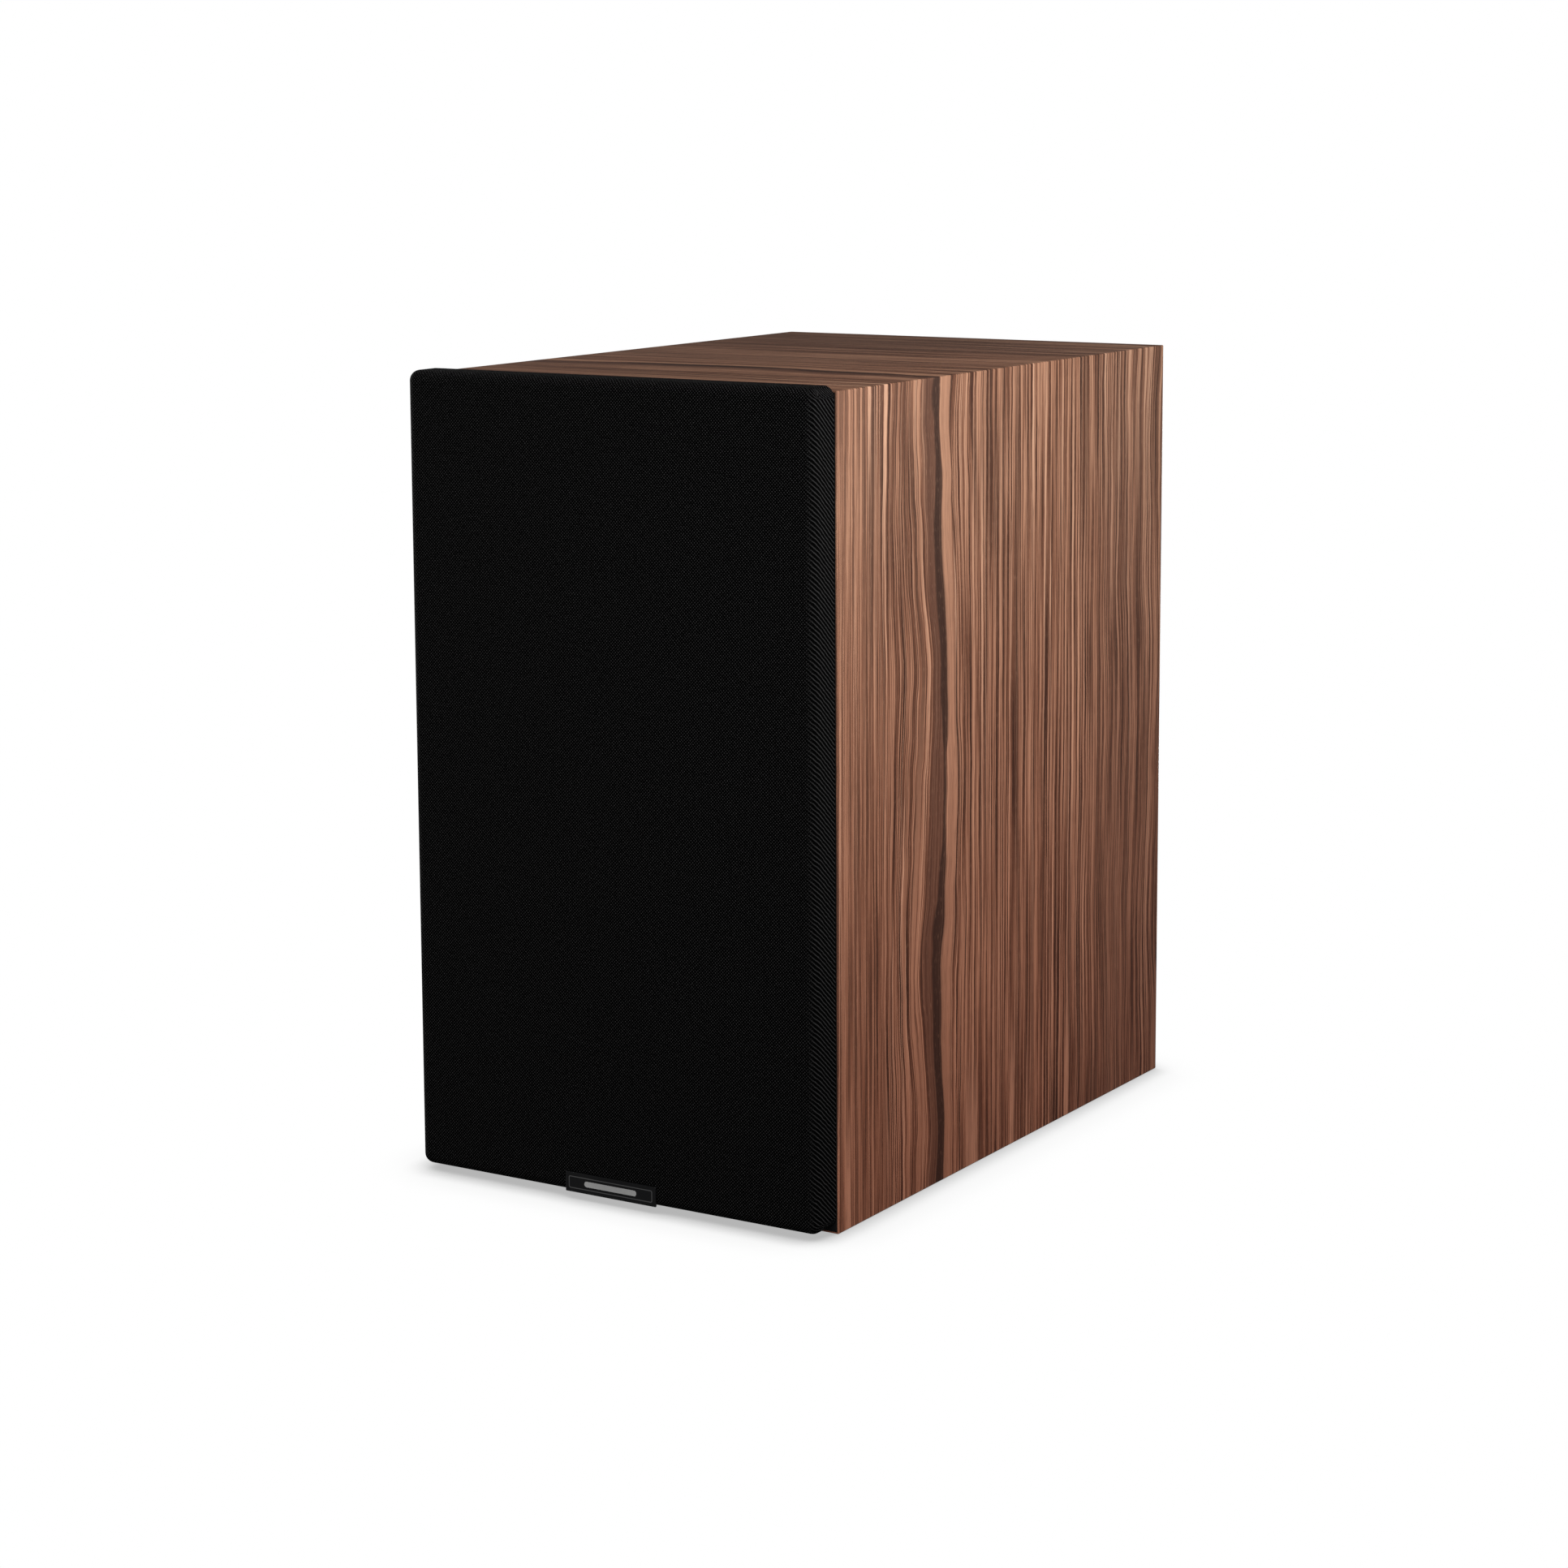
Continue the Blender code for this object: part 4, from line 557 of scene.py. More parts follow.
WALNUT_DARK = (0.060, 0.027, 0.018, 1)
WALNUT_MIDDLE = (0.215, 0.094, 0.055, 1)
WALNUT_LIGHT = (0.500, 0.265, 0.165, 1)
WALNUT_LINE = (0.720, 0.420, 0.275, 1)
WALNUT_GREY = (0.180, 0.108, 0.078, 1)
WALNUT_BROWN = (0.135, 0.064, 0.042, 1)
WALNUT_CORE = (0.045, 0.024, 0.018, 1)
WALNUT_EDGE = (0.480, 0.245, 0.150, 1)
# Painted shade: the walnut is multiplied by this towards the bottom of the right side and on the bottom
# panel, darker and redder.
LOWER_PAINTED_SHADE = (0.96, 0.72, 0.68, 1)
FLAME = 0.084                # dark core of the flame behind the front edge
SWAY_PLACE = 0.074           # middle of the stretch where the lines sway most


def make_walnut():
    """Straight walnut with a flame. Grain is (length along, distance from the front edge, depth)."""
    tree, n, takes, gives = new_effect(
        "walnut_figure", {"Grain": ("vector", None), "Flame": ("value", FLAME)},
        {"Colour": "colour", "Height": "value", "Roughness": "value"})
    along, across, _ = n.parts(takes["Grain"])

    def streak(where, scale_across, scale_along, seed, detail=2.0):
        place = n.vector(n.math("MULTIPLY", where, scale_across),
                         n.math("MULTIPLY", along, scale_along), seed)
        return n.noise(place, 1.0, detail)

    def hill(value, half, soft):
        """1 within half of zero, falling to 0 over soft."""
        return n.spread(n.math("ABSOLUTE", value), half, half + soft, 1.0, 0.0, "SMOOTHSTEP")

    near_flame = n.math("ABSOLUTE", n.math("SUBTRACT", across, SWAY_PLACE))
    sway = n.math("ADD", n.spread(near_flame, 0.008, 0.045, 0.0260, 0.0016),
                  n.spread(across, 0.19, 0.25, 0.0, 0.0120))
    broad_sway = n.math("SUBTRACT", streak(across, 14.0, 8.0, 3.1, 1.0), 0.5)
    small_sway = n.math("SUBTRACT", streak(across, 70.0, 34.0, 9.7, 1.0), 0.5)
    ragged = n.math("SUBTRACT", streak(across, 260.0, 110.0, 6.3, 1.0), 0.5)
    moved = n.math("MULTIPLY_ADD", broad_sway, sway, across)
    moved = n.math("MULTIPLY_ADD", small_sway, n.math("MULTIPLY_ADD", sway, 0.16, 0.0004), moved)
    where = n.math("MULTIPLY_ADD", ragged, 0.0005, moved)

    hair = streak(where, 2100.0, 16.0, 1.0)
    fine = streak(where, 1150.0, 8.0, 2.0)
    middle_lines = streak(where, 520.0, 3.6, 5.0)
    bands = streak(where, 150.0, 1.5, 8.0)
    tone = n.math("MULTIPLY_ADD", hair, 0.25, n.math("MULTIPLY", fine, 0.33))
    tone = n.math("MULTIPLY_ADD", middle_lines, 0.26, tone)
    tone = n.math("MULTIPLY_ADD", bands, 0.16, tone)
    tone = n.spread(tone, 0.445, 0.555)
    colour = n.blend(n.spread(tone, 0.0, 0.5), WALNUT_DARK, WALNUT_MIDDLE)
    colour = n.blend(n.spread(tone, 0.5, 1.0), colour, WALNUT_LIGHT)

    pale_ridge = n.math("SUBTRACT", streak(where, 330.0, 1.5, 14.0, 0.0), 0.5)
    pale = n.math("MULTIPLY", hill(pale_ridge, 0.010, 0.036),
                  n.spread(streak(where, 70.0, 4.0, 17.0), 0.36, 0.60))
    dark_ridge = n.math("SUBTRACT", streak(where, 290.0, 1.6, 23.0, 0.0), 0.5)
    dark = n.math("MULTIPLY", hill(dark_ridge, 0.004, 0.036),
                  n.spread(streak(where, 50.0, 5.0, 29.0), 0.40, 0.62))
    colour = n.blend(n.math("MULTIPLY", dark, 0.78), colour, WALNUT_DARK)
    colour = n.blend(n.math("MULTIPLY", pale, 0.88), colour, WALNUT_LINE)

    offset = n.math("SUBTRACT", where, takes["Flame"])
    brown = n.math("MULTIPLY", n.spread(offset, -0.014, -0.010), n.spread(offset, -0.001, 0.001, 1, 0))
    brown = n.math("MULTIPLY", brown, 0.82)
    thick = n.spread(streak(across, 20.0, 16.0, 31.0), 0.40, 0.58, 0.0005, 0.0044)
    core = n.spread(n.math("SUBTRACT", n.math("ABSOLUTE", offset), thick), 0.0, 0.0011, 1.0, 0.0)
    rear_light = n.math("MULTIPLY", n.spread(offset, 0.0018, 0.0032), n.spread(offset, 0.0085, 0.0110, 1, 0))
    front_light = hill(n.math("ADD", offset, 0.0205), 0.0010, 0.0016)
    second_light = hill(n.math("ADD", offset, 0.0285), 0.0005, 0.0016)
    lower = n.spread(along, 0.14, 0.24, 1.0, 0.15)
    lights = n.math("MAXIMUM", front_light, n.math("MULTIPLY", second_light, 0.7))
    colour = n.blend(brown, colour, WALNUT_BROWN)
    colour = n.blend(n.math("MULTIPLY", core, 0.88), colour, WALNUT_CORE)
    colour = n.blend(n.math("MULTIPLY", rear_light, 0.75), colour, WALNUT_LIGHT)
    colour = n.blend(n.math("MULTIPLY", n.math("MULTIPLY", lights, lower), 0.70), colour, WALNUT_LIGHT)

    colour = n.blend(n.spread(across, 0.012, 0.040, 0.24, 0.0), colour, WALNUT_EDGE)
    colour = n.blend(n.spread(across, 0.200, 0.245, 0.0, 0.22), colour, WALNUT_GREY)
    pores = n.spread(streak(where, 2800.0, 85.0, 37.0, 1.0), 0.58, 0.70)
    flecks = n.spread(streak(where, 3100.0, 210.0, 41.0, 1.0), 0.64, 0.74)
    colour = n.blend(n.math("MULTIPLY", pores, 0.34), colour, WALNUT_DARK)
    colour = n.blend(n.math("MULTIPLY", flecks, 0.24), colour, WALNUT_LINE)
    # Painted shade: darker and redder towards the bottom of the right side, and on the bottom panel.
    lower_painted_shade = n.spread(along, 0.02, 0.30, 1.0, 0.08)
    n.feed(gives["Colour"], n.blend(lower_painted_shade, colour, LOWER_PAINTED_SHADE, "MULTIPLY"))
    n.feed(gives["Height"], n.math("SUBTRACT", n.math("MULTIPLY", fine, 0.4), pores))
    n.feed(gives["Roughness"], n.math("MULTIPLY_ADD", pores, 0.16, n.spread(fine, 0.3, 0.7, 0.50, 0.40)))
    return tree


FINE_RELIEF = make_fine_relief()
UNEVEN_GLOSS = make_uneven_gloss()
SETTLED_DUST = make_dust()
TURNED_LINES = make_turned_lines()
GRILLE_KNIT = make_knit()
WIRE_ROWS = make_winding()
WALNUT_FIGURE = make_walnut()


# ---------------------------------------------------------------- materials
def new_material(name, **fixed):
    """A material: its nodes and its Principled shader with fixed sockets set."""
    material = bpy.data.materials.new(name)
    material.use_nodes = True
    shader = material.node_tree.nodes["Principled BSDF"]
    for socket, value in fixed.items():
        shader.inputs[socket.replace("_", " ")].default_value = value
    return material, Nodes(material.node_tree), shader.inputs


def bumped(n, sockets, height, distance, strength=1.0):
    """Relief of a distance in metres from a height of 0 to 1."""
    bump = n.add("Bump", {"Height": height, "Distance": distance, "Strength": strength})
    n.feed(sockets["Normal"], bump.outputs[0])


def surface(name, colour, second, base, drift, relief, depth, dust=0.0, spread_scale=60.0, **fixed):
    """A finish with drifting colour, uneven gloss, fine relief and, where asked, dust.

    relief is (fine scale, coarse scale, coarse share) and depth its height in metres."""
    material, n, sockets = new_material(name, **fixed)
    place = n.place()
    tone = n.blend(n.spread(n.noise(place, spread_scale, 3.0), 0.32, 0.68), colour, second)
    if dust:
        tone = n.effect(SETTLED_DUST, Place=place, Colour=tone, Amount=dust)["Colour"]
    n.feed(sockets["Base Color"], tone)
    gloss = n.effect(UNEVEN_GLOSS, Place=place, Base=base, Drift=drift)["Roughness"]
    n.feed(sockets["Roughness"], gloss)
    height = n.effect(FINE_RELIEF, Place=place, Scale=relief[0], Coarse=relief[1],
                      Share=relief[2])["Height"]
    bumped(n, sockets, height, depth)
    return material


def make_veneer():
    """Walnut veneer on board: satin outside, black paint on the ends, bare board inside."""
    material, n, sockets = new_material("walnut_veneer", Specular_IOR_Level=0.14)
    grain = n.mark("grain")
    wood = n.effect(WALNUT_FIGURE, Grain=grain)
    depth = n.parts(grain)[2]
    place = n.place()
    ends = n.spread(depth, 0.00058, 0.00068)
    inside = n.spread(depth, 0.01494, 0.01499)
    paint = n.effect(SETTLED_DUST, Place=place, Colour=(0.011, 0.010, 0.010, 1), Amount=0.2)["Colour"]
    board = n.blend(n.noise(place, 900.0, 3.0), (0.24, 0.155, 0.09, 1), (0.36, 0.25, 0.155, 1))
    colour = n.blend(ends, wood["Colour"], paint)
    n.feed(sockets["Base Color"], n.blend(inside, colour, board))
    rough = n.math("MULTIPLY_ADD", ends, 0.12, wood["Roughness"])
    n.feed(sockets["Roughness"], n.math("MULTIPLY_ADD", inside, 0.3, rough))
    relief = n.effect(FINE_RELIEF, Place=place, Scale=1500.0, Coarse=300.0, Share=0.3)["Height"]
    height = n.add("Mix", {0: ends, 2: wood["Height"], 3: relief}).outputs[0]
    bumped(n, sockets, height, 0.00004, 0.5)
    return material


def make_cloth():
    """Black grille knit, its loops and threads lightened as a painted highlight."""
    material, n, sockets = new_material("grille_knit_black", Specular_IOR_Level=0.02)
    cloth = n.effect(GRILLE_KNIT, Lay=n.mark("lay"), Pitch=0.00140)
    n.feed(sockets["Base Color"], cloth["Colour"])
    n.feed(sockets["Roughness"], cloth["Roughness"])
    bumped(n, sockets, cloth["Height"], 0.00030)
    return material


VENEER = make_veneer()
CLOTH = make_cloth()
BLACK_PAINT = surface("black_panel_paint", (0.012, 0.011, 0.011, 1), (0.019, 0.018, 0.017, 1), 0.58,
                      0.07, (1400.0, 260.0, 0.35), 0.00005, dust=0.3)
MOULDED = surface("moulded_black", (0.017, 0.017, 0.018, 1), (0.026, 0.026, 0.028, 1), 0.42, 0.08,
                  (2600.0, 500.0, 0.3), 0.00004, dust=0.25)
FRAME_PLASTIC = surface("grille_frame_black", (0.020, 0.020, 0.021, 1), (0.031, 0.031, 0.032, 1),
                        0.60, 0.08, (1800.0, 240.0, 0.4), 0.00006, dust=0.3)
GLOSS_BLACK = surface("gloss_black", (0.006, 0.006, 0.007, 1), (0.010, 0.010, 0.011, 1), 0.16,
                      0.05, (900.0, 90.0, 0.6), 0.000006, Coat_Weight=0.6, Coat_Roughness=0.08)
PALE_ENAMEL = surface("pale_enamel", (0.66, 0.66, 0.65, 1), (0.78, 0.78, 0.77, 1), 0.30, 0.05,
                      (1600.0, 200.0, 0.4), 0.000008)
MAGNET_STEEL = surface("magnet_nickel", (0.52, 0.52, 0.53, 1), (0.66, 0.66, 0.66, 1), 0.26, 0.10,
                       (2400.0, 200.0, 0.4), 0.000015, Metallic=1.0)

# ---------------------------------------------------------------- cabinet
CABINET = [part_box(name) for name in ("left_side_panel", "right_side_panel", "top_panel", "bottom_panel")]
FRONT = CABINET[1][0].y
BACK = CABINET[1][1].y
HALF_WIDTH = CABINET[1][1].x
TOP = CABINET[2][1].z
WALL = HALF_WIDTH - CABINET[1][0].x
ARRIS = 0.0005               # rounding between two veneered faces
END_ARRIS = 0.00035          # rounding at the panels' ends
MITRE = 0.00002              # half the hairline between two panels


def wrap_panel(name, node, corner, across, outward, length, grain):
    """One panel of the wrap.

    corner is where its outer edge starts, across points along the edge and outward away from
    the cabinet, both in XZ. grain gives the length along the grain at a distance from corner."""
    corner, across, outward = Vector(corner), Vector(across), Vector(outward)
    stations = []
    for side in (0, 1):
        points = []
        for step in range(4):
            angle = math.radians(45 - 15 * step)
            along = ARRIS * (1 - math.sin(angle)) + MITRE
            points.append((along, ARRIS * (1 - math.cos(angle)), angle))
        if side:
            points = [(length - along, drop, -angle) for along, drop, angle in reversed(points)]
        stations += points
    ring = [(END_ARRIS * (1 - math.sin(math.radians(turn))), END_ARRIS * (1 - math.cos(math.radians(turn))))
            for turn in (0, 30, 60, 90)]
    section = [(inset, FRONT + step) for inset, step in ring]
    section += [(inset, BACK - step) for inset, step in reversed(ring)]
    mesh = bpy.data.meshes.new(name)
    points, marks = [], []

    def point(along, drop, y, depth):
        place = corner + across * along - outward * drop
        points.append((place.x, y, place.y))
        marks.append((grain(along), y - FRONT, depth))
        return len(points) - 1

    grid = []
    for along, drop, angle in stations:
        row = []
        for inset, y in section:
            row.append(point(along + inset * math.sin(angle), drop + inset * math.cos(angle), y, inset))
        grid.append(row)
    inner = [point(along, WALL, y, WALL) for along in (WALL + MITRE, length - WALL - MITRE)
             for y in (FRONT, BACK)]
    faces = []
    for row, following in zip(grid, grid[1:]):
        for index in range(len(section) - 1):
            faces.append((row[index], following[index], following[index + 1], row[index + 1]))
    faces.append([row[0] for row in grid] + [inner[2], inner[0]])
    faces.append([row[-1] for row in reversed(grid)] + [inner[1], inner[3]])
    faces.append([*grid[0], inner[1], inner[0]])
    faces.append([*reversed(grid[-1]), inner[2], inner[3]])
    faces.append([inner[0], inner[2], inner[3], inner[1]])
    mesh.from_pydata(points, [], faces)
    attribute = mesh.attributes.new("grain", "FLOAT_VECTOR", "POINT")
    for value, mark in zip(attribute.data, marks):
        value.vector = mark
    bm = bmesh.new()
    bm.from_mesh(mesh)
    bmesh.ops.recalc_face_normals(bm, faces=bm.faces)
    bm.to_mesh(mesh)
    bm.free()
    piece = linked(name, mesh)
    shade(piece, 35)
    return settle(piece, "cabinet", VENEER, "walnut_veneer", node)


def build_wrap():
    """The four mitred panels, their grain running over the edges."""
    width = 2 * HALF_WIDTH
    wrap_panel("veneered_right_side", "right_side_panel", (HALF_WIDTH, 0), (0, 1), (1, 0), TOP,
               lambda along: along)
    wrap_panel("veneered_top", "top_panel", (HALF_WIDTH, TOP), (-1, 0), (0, 1), width,
               lambda along: TOP + along)
    wrap_panel("veneered_left_side", "left_side_panel", (-HALF_WIDTH, TOP), (0, -1), (-1, 0), TOP,
               lambda along: TOP + width + along)
    wrap_panel("veneered_bottom", "bottom_panel", (HALF_WIDTH, 0), (-1, 0), (0, -1), width,
               lambda along: -along)


build_wrap()

# ---------------------------------------------------------------- grille
GRILLE_LOW, GRILLE_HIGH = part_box("grille_cloth")
GRILLE_ROUND = 0.0045
CLOTH_THICKNESS = 0.0010
CLOTH_LIP = 0.010


def rounded_tray(name, low, high, radius, segments=8):
    """A box whose edges are round, except around its back."""
    obj = block(name, low, high)
    middle_y = (low.y + high.y) / 2
    bm = bmesh.new()
    bm.from_mesh(obj.data)
    soft = [edge for edge in bm.edges if min(vert.co.y for vert in edge.verts) < middle_y]
    bmesh.ops.bevel(bm, geom=soft, offset=radius, segments=segments, affect="EDGES", profile=0.5)
    bm.to_mesh(obj.data)
    bm.free()
    return obj


def wrapped_length(value, half, depth):
    """Cloth length from the middle of the front to a point round the edge and along the side."""
    core = half - GRILLE_ROUND
    if abs(value) <= core:
        return value
    beyond = abs(value) - core
    ahead = GRILLE_ROUND - depth
    if ahead > 0:
        length = core + GRILLE_ROUND * math.atan2(beyond, ahead)
    else:
        share = min(1.0, beyond / GRILLE_ROUND)
        length = core + (GRILLE_ROUND * math.pi / 2 - ahead) * share
    return math.copysign(length, value)


def build_cloth():
    """The knit stretched over the frame and folded on to its back."""
    skin = Vector((CLOTH_THICKNESS, CLOTH_THICKNESS, CLOTH_THICKNESS))
    low, high = GRILLE_LOW, GRILLE_HIGH
    cloth = rounded_tray("grille_knit_cover", low, high, GRILLE_ROUND)
    inside = rounded_tray("cloth_room", low + skin, high - skin, GRILLE_ROUND - CLOTH_THICKNESS)
    lip = Vector((CLOTH_LIP, 0, CLOTH_LIP))
    opening = rounded_tray("cloth_opening", Vector((low.x, high.y - 2 * CLOTH_THICKNESS, low.z)) + lip,
                           Vector((high.x, high.y + 0.01, high.z)) - lip, 0.003, 4)
    cut_by(cloth, [inside, opening])
    middle_x = (low.x + high.x) / 2
    middle_z = (low.z + high.z) / 2
    attribute = cloth.data.attributes.new("lay", "FLOAT_VECTOR", "POINT")
    for value, vert in zip(attribute.data, cloth.data.vertices):
        depth = vert.co.y - low.y
        value.vector = (wrapped_length(vert.co.x - middle_x, (high.x - low.x) / 2, depth),
                        wrapped_length(vert.co.z - middle_z, (high.z - low.z) / 2, depth), 0)
    shade(cloth, 50)
    settle(cloth, "grille", CLOTH, "grille_fabric", "grille_cloth")


def window(name, side, floor, ceiling, radius_low, radius_high, front):
    """A cutter for one window of the grille frame."""
    lower = [(x, y + (floor + ceiling) / 2)
             for x, y in round_rectangle(side, (ceiling - floor) / 2, radius_low)]
    upper = [(x, y + (floor + ceiling) / 2)
             for x, y in round_rectangle(side, (ceiling - floor) / 2, radius_high)]
    half = len(upper) // 2
    return plate(name, upper[:half] + lower[half:], -0.03, 0.03, facing((0, front, 0), True))


def build_grille_frame():
    """The moulded frame with softened windows and pockets for its magnets."""
    low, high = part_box("grille_frame")
    frame_piece = rounded_tray("moulded_grille_frame", low, high, GRILLE_ROUND - CLOTH_THICKNESS - 0.0003)
    side = high.x - 0.018
    cutters = [window("window_low", side, low.z + 0.021, 0.1925, 0.030, 0.010, low.y),
               window("window_high", side, 0.2045, high.z - 0.021, 0.010, 0.030, low.y)]
    cut_by(frame_piece, cutters)
    soften(frame_piece, 0.0008, 2, 60)
    pockets = []
    for number in range(1, 5):
        place = middle(f"grille_magnet_{number}")
        pockets.append(drum(f"pocket_{number}", (place.x, high.y, place.z), 0.0053, -0.0033, 0.01,
                            False, 40))
    cut_by(frame_piece, pockets)
    shade(frame_piece, 35)
    settle(frame_piece, "grille", FRAME_PLASTIC, "moulded_black", "grille_frame")


def build_badge():
    """A gloss plate with a plain bright pinstripe let into it."""
    low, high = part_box("grille_badge")
    badge = block("grille_nameless_badge", low, high)
    groove = 0.00012
    inset = 0.0016
    line = 0.00045
    centre_z = (low.z + high.z) / 2
    half_x = high.x - inset
    half_z = (high.z - low.z) / 2 - inset
    turned_up = facing((0, low.y, centre_z), True)
    outer = plate("stripe_outer", round_rectangle(half_x, half_z, 0.0008), -groove, 0.001, turned_up)
    inner = plate("stripe_inner", round_rectangle(half_x - line, half_z - line, 0.0005), -0.0006,
                  0.0012, turned_up)
    cut_by(outer, [inner])
    bar_seat = plate("bar_seat", round_rectangle(half_x * 0.62 + 0.00003, 0.00123, 0.00113), -0.00022,
                     0.001, turned_up)
    soften(badge, 0.00028, 3)
    cut_by(badge, [outer, bar_seat])
    shade(badge, 35)
    settle(badge, "grille", GLOSS_BLACK, "gloss_black", "grille_badge")
    stripe = plate("badge_pinstripe", round_rectangle(half_x - 0.00003, half_z - 0.00003, 0.0008),
                   -groove, -0.00003, turned_up)
    middle_cut = plate("stripe_middle", round_rectangle(half_x - line + 0.00003,
                                                        half_z - line + 0.00003, 0.0005),
                       -0.0006, 0.0012, turned_up)
    cut_by(stripe, [middle_cut])
    shade(stripe, 35)
    settle(stripe, "grille", MAGNET_STEEL, "plated_steel")
    bar = plate("badge_bright_bar", round_rectangle(half_x * 0.62, 0.00120, 0.00110), -0.0002,
                -0.00002, turned_up)
    shade(bar, 35)
    settle(bar, "grille", PALE_ENAMEL, "plated_steel")


def build_magnets():
    """Eight nickel discs with chamfered rims."""
    for group, body, forward in (("baffle", "cabinet", True), ("grille", "grille", False)):
        for number in range(1, 5):
            node = f"{group}_magnet_{number}"
            low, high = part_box(node)
            radius = (high.x - low.x) / 2
            thick = high.y - low.y
            face = front_of(node) if forward else back_of(node)
            rim = 0.0003
            profile = [(0, 0), (radius - rim, 0), (radius - rim / 3, -rim / 3), (radius, -rim),
                       (radius, rim - thick), (radius - rim, -thick), (0, -thick)]
            disc = spun(f"{node}_disc", profile, face, forward, 64, 12, closed=False)
            settle(disc, body, MAGNET_STEEL, "plated_steel", node)


build_cloth()
build_grille_frame()
build_badge()
build_magnets()

# ---------------------------------------------------------------- finishes of the works
RUBBER = surface("rubber_roll", (0.013, 0.013, 0.014, 1), (0.020, 0.020, 0.021, 1), 0.55, 0.09,
                 (3200.0, 420.0, 0.25), 0.00003, dust=0.45, Specular_IOR_Level=0.4)
SILK = surface("dome_silk", (0.014, 0.013, 0.014, 1), (0.022, 0.021, 0.022, 1), 0.50, 0.08,
               (5200.0, 700.0, 0.2), 0.00003, dust=0.3, Sheen_Weight=0.15, Sheen_Roughness=0.4)
CAST = surface("cast_basket_grey", (0.14, 0.14, 0.145, 1), (0.21, 0.21, 0.215, 1), 0.52, 0.10,
               (1500.0, 300.0, 0.4), 0.00012, dust=0.4, Metallic=0.7)
BLACK_STEEL = surface("blackened_steel", (0.030, 0.030, 0.033, 1), (0.060, 0.060, 0.064, 1), 0.38,
                      0.12, (2600.0, 350.0, 0.4), 0.00002, Metallic=0.85)
FERRITE = surface("ferrite_grey", (0.036, 0.034, 0.034, 1), (0.060, 0.057, 0.056, 1), 0.62, 0.10,
                  (1300.0, 180.0, 0.5), 0.00008, dust=0.5)
RED_NUT = surface("red_nut_plastic", (0.40, 0.012, 0.011, 1), (0.50, 0.022, 0.019, 1), 0.28, 0.07,
                  (2200.0, 300.0, 0.3), 0.00002, Coat_Weight=0.25, Coat_Roughness=0.2)
BLACK_NUT = surface("black_nut_plastic", (0.014, 0.014, 0.015, 1), (0.022, 0.022, 0.024, 1), 0.28,
                    0.07, (2200.0, 300.0, 0.3), 0.00002, Coat_Weight=0.25, Coat_Roughness=0.2)
RAW_BOARD = surface("raw_board", (0.245, 0.155, 0.088, 1), (0.370, 0.255, 0.160, 1), 0.86, 0.06,
                    (1100.0, 160.0, 0.4), 0.00012, dust=0.3, spread_scale=500.0)
SHEATH = surface("lead_sheath_grey", (0.090, 0.090, 0.094, 1), (0.130, 0.130, 0.135, 1), 0.46, 0.08,
                 (2600.0, 300.0, 0.3), 0.00003)
FILM_CASE = surface("film_case_yellow", (0.44, 0.30, 0.035, 1), (0.52, 0.37, 0.060, 1), 0.30, 0.08,
                    (1800.0, 160.0, 0.6), 0.00006, Coat_Weight=0.35, Coat_Roughness=0.12)


def make_turned_metal(name, colour, second, base, centre, pitch, depth, **fixed):
    """Metal turned on a lathe about an axis along Y through a centre."""
    material, n, sockets = new_material(name, Metallic=1.0, **fixed)
    place = n.place()
    lines = n.effect(TURNED_LINES, Place=place, Centre=tuple(centre), Pitch=pitch)
    tone = n.blend(n.spread(n.noise(place, 120.0, 3.0), 0.3, 0.7), colour, second)
    n.feed(sockets["Base Color"], tone)
    gloss = n.effect(UNEVEN_GLOSS, Place=place, Base=base, Drift=0.09)["Roughness"]
    n.feed(sockets["Roughness"], gloss)
    bumped(n, sockets, lines["Height"], depth)
    return material


def make_pulp(centre):
    """Pressed paper pulp: fibres, faint rings from the felting and a little dust."""
    material, n, sockets = new_material("pressed_pulp", Sheen_Weight=0.08, Specular_IOR_Level=0.35)
    place = n.place()
    fibres = n.noise(place, 900.0, 4.0, 0.7)
    long_fibres = n.noise(n.add("VectorMath", {0: place, 1: (1.0, 1.0, 0.35)},
                                operation="MULTIPLY").outputs[0], 1700.0, 2.0)
    rings = n.effect(TURNED_LINES, Place=place, Centre=tuple(centre), Pitch=0.0031)
    tone = n.blend(n.spread(fibres, 0.35, 0.65), (0.034, 0.033, 0.032, 1), (0.062, 0.060, 0.057, 1))
    tone = n.blend(n.spread(long_fibres, 0.62, 0.72, 0.0, 0.5), tone, (0.13, 0.125, 0.12, 1))
    tone = n.effect(SETTLED_DUST, Place=place, Colour=tone, Amount=0.35)["Colour"]
    n.feed(sockets["Base Color"], tone)
    n.feed(sockets["Roughness"], n.spread(fibres, 0.3, 0.7, 0.66, 0.82))
    height = n.math("MULTIPLY_ADD", rings["Height"], 0.25, fibres)
    bumped(n, sockets, height, 0.00008)
    return material


def make_spider_cloth():
    """Resin-dipped corrugated cloth with its weave."""
    material, n, sockets = new_material("spider_cloth_amber")
    place = n.place()
    x, _, z = n.parts(place)
    warp = n.math("SINE", n.math("MULTIPLY", x, math.tau / 0.0007))
    weft = n.math("SINE", n.math("MULTIPLY", z, math.tau / 0.0007))
    weave = n.math("MULTIPLY", warp, weft)
    tone = n.blend(n.spread(weave, -0.6, 0.8), (0.26, 0.145, 0.040, 1), (0.46, 0.290, 0.105, 1))
    stain = n.spread(n.noise(place, 90.0, 3.0), 0.35, 0.70, 0.0, 0.4)
    n.feed(sockets["Base Color"], n.blend(stain, tone, (0.20, 0.10, 0.03, 1)))
    gloss = n.effect(UNEVEN_GLOSS, Place=place, Base=0.62, Drift=0.10)["Roughness"]
    n.feed(sockets["Roughness"], gloss)
    bumped(n, sockets, weave, 0.00010)
    return material


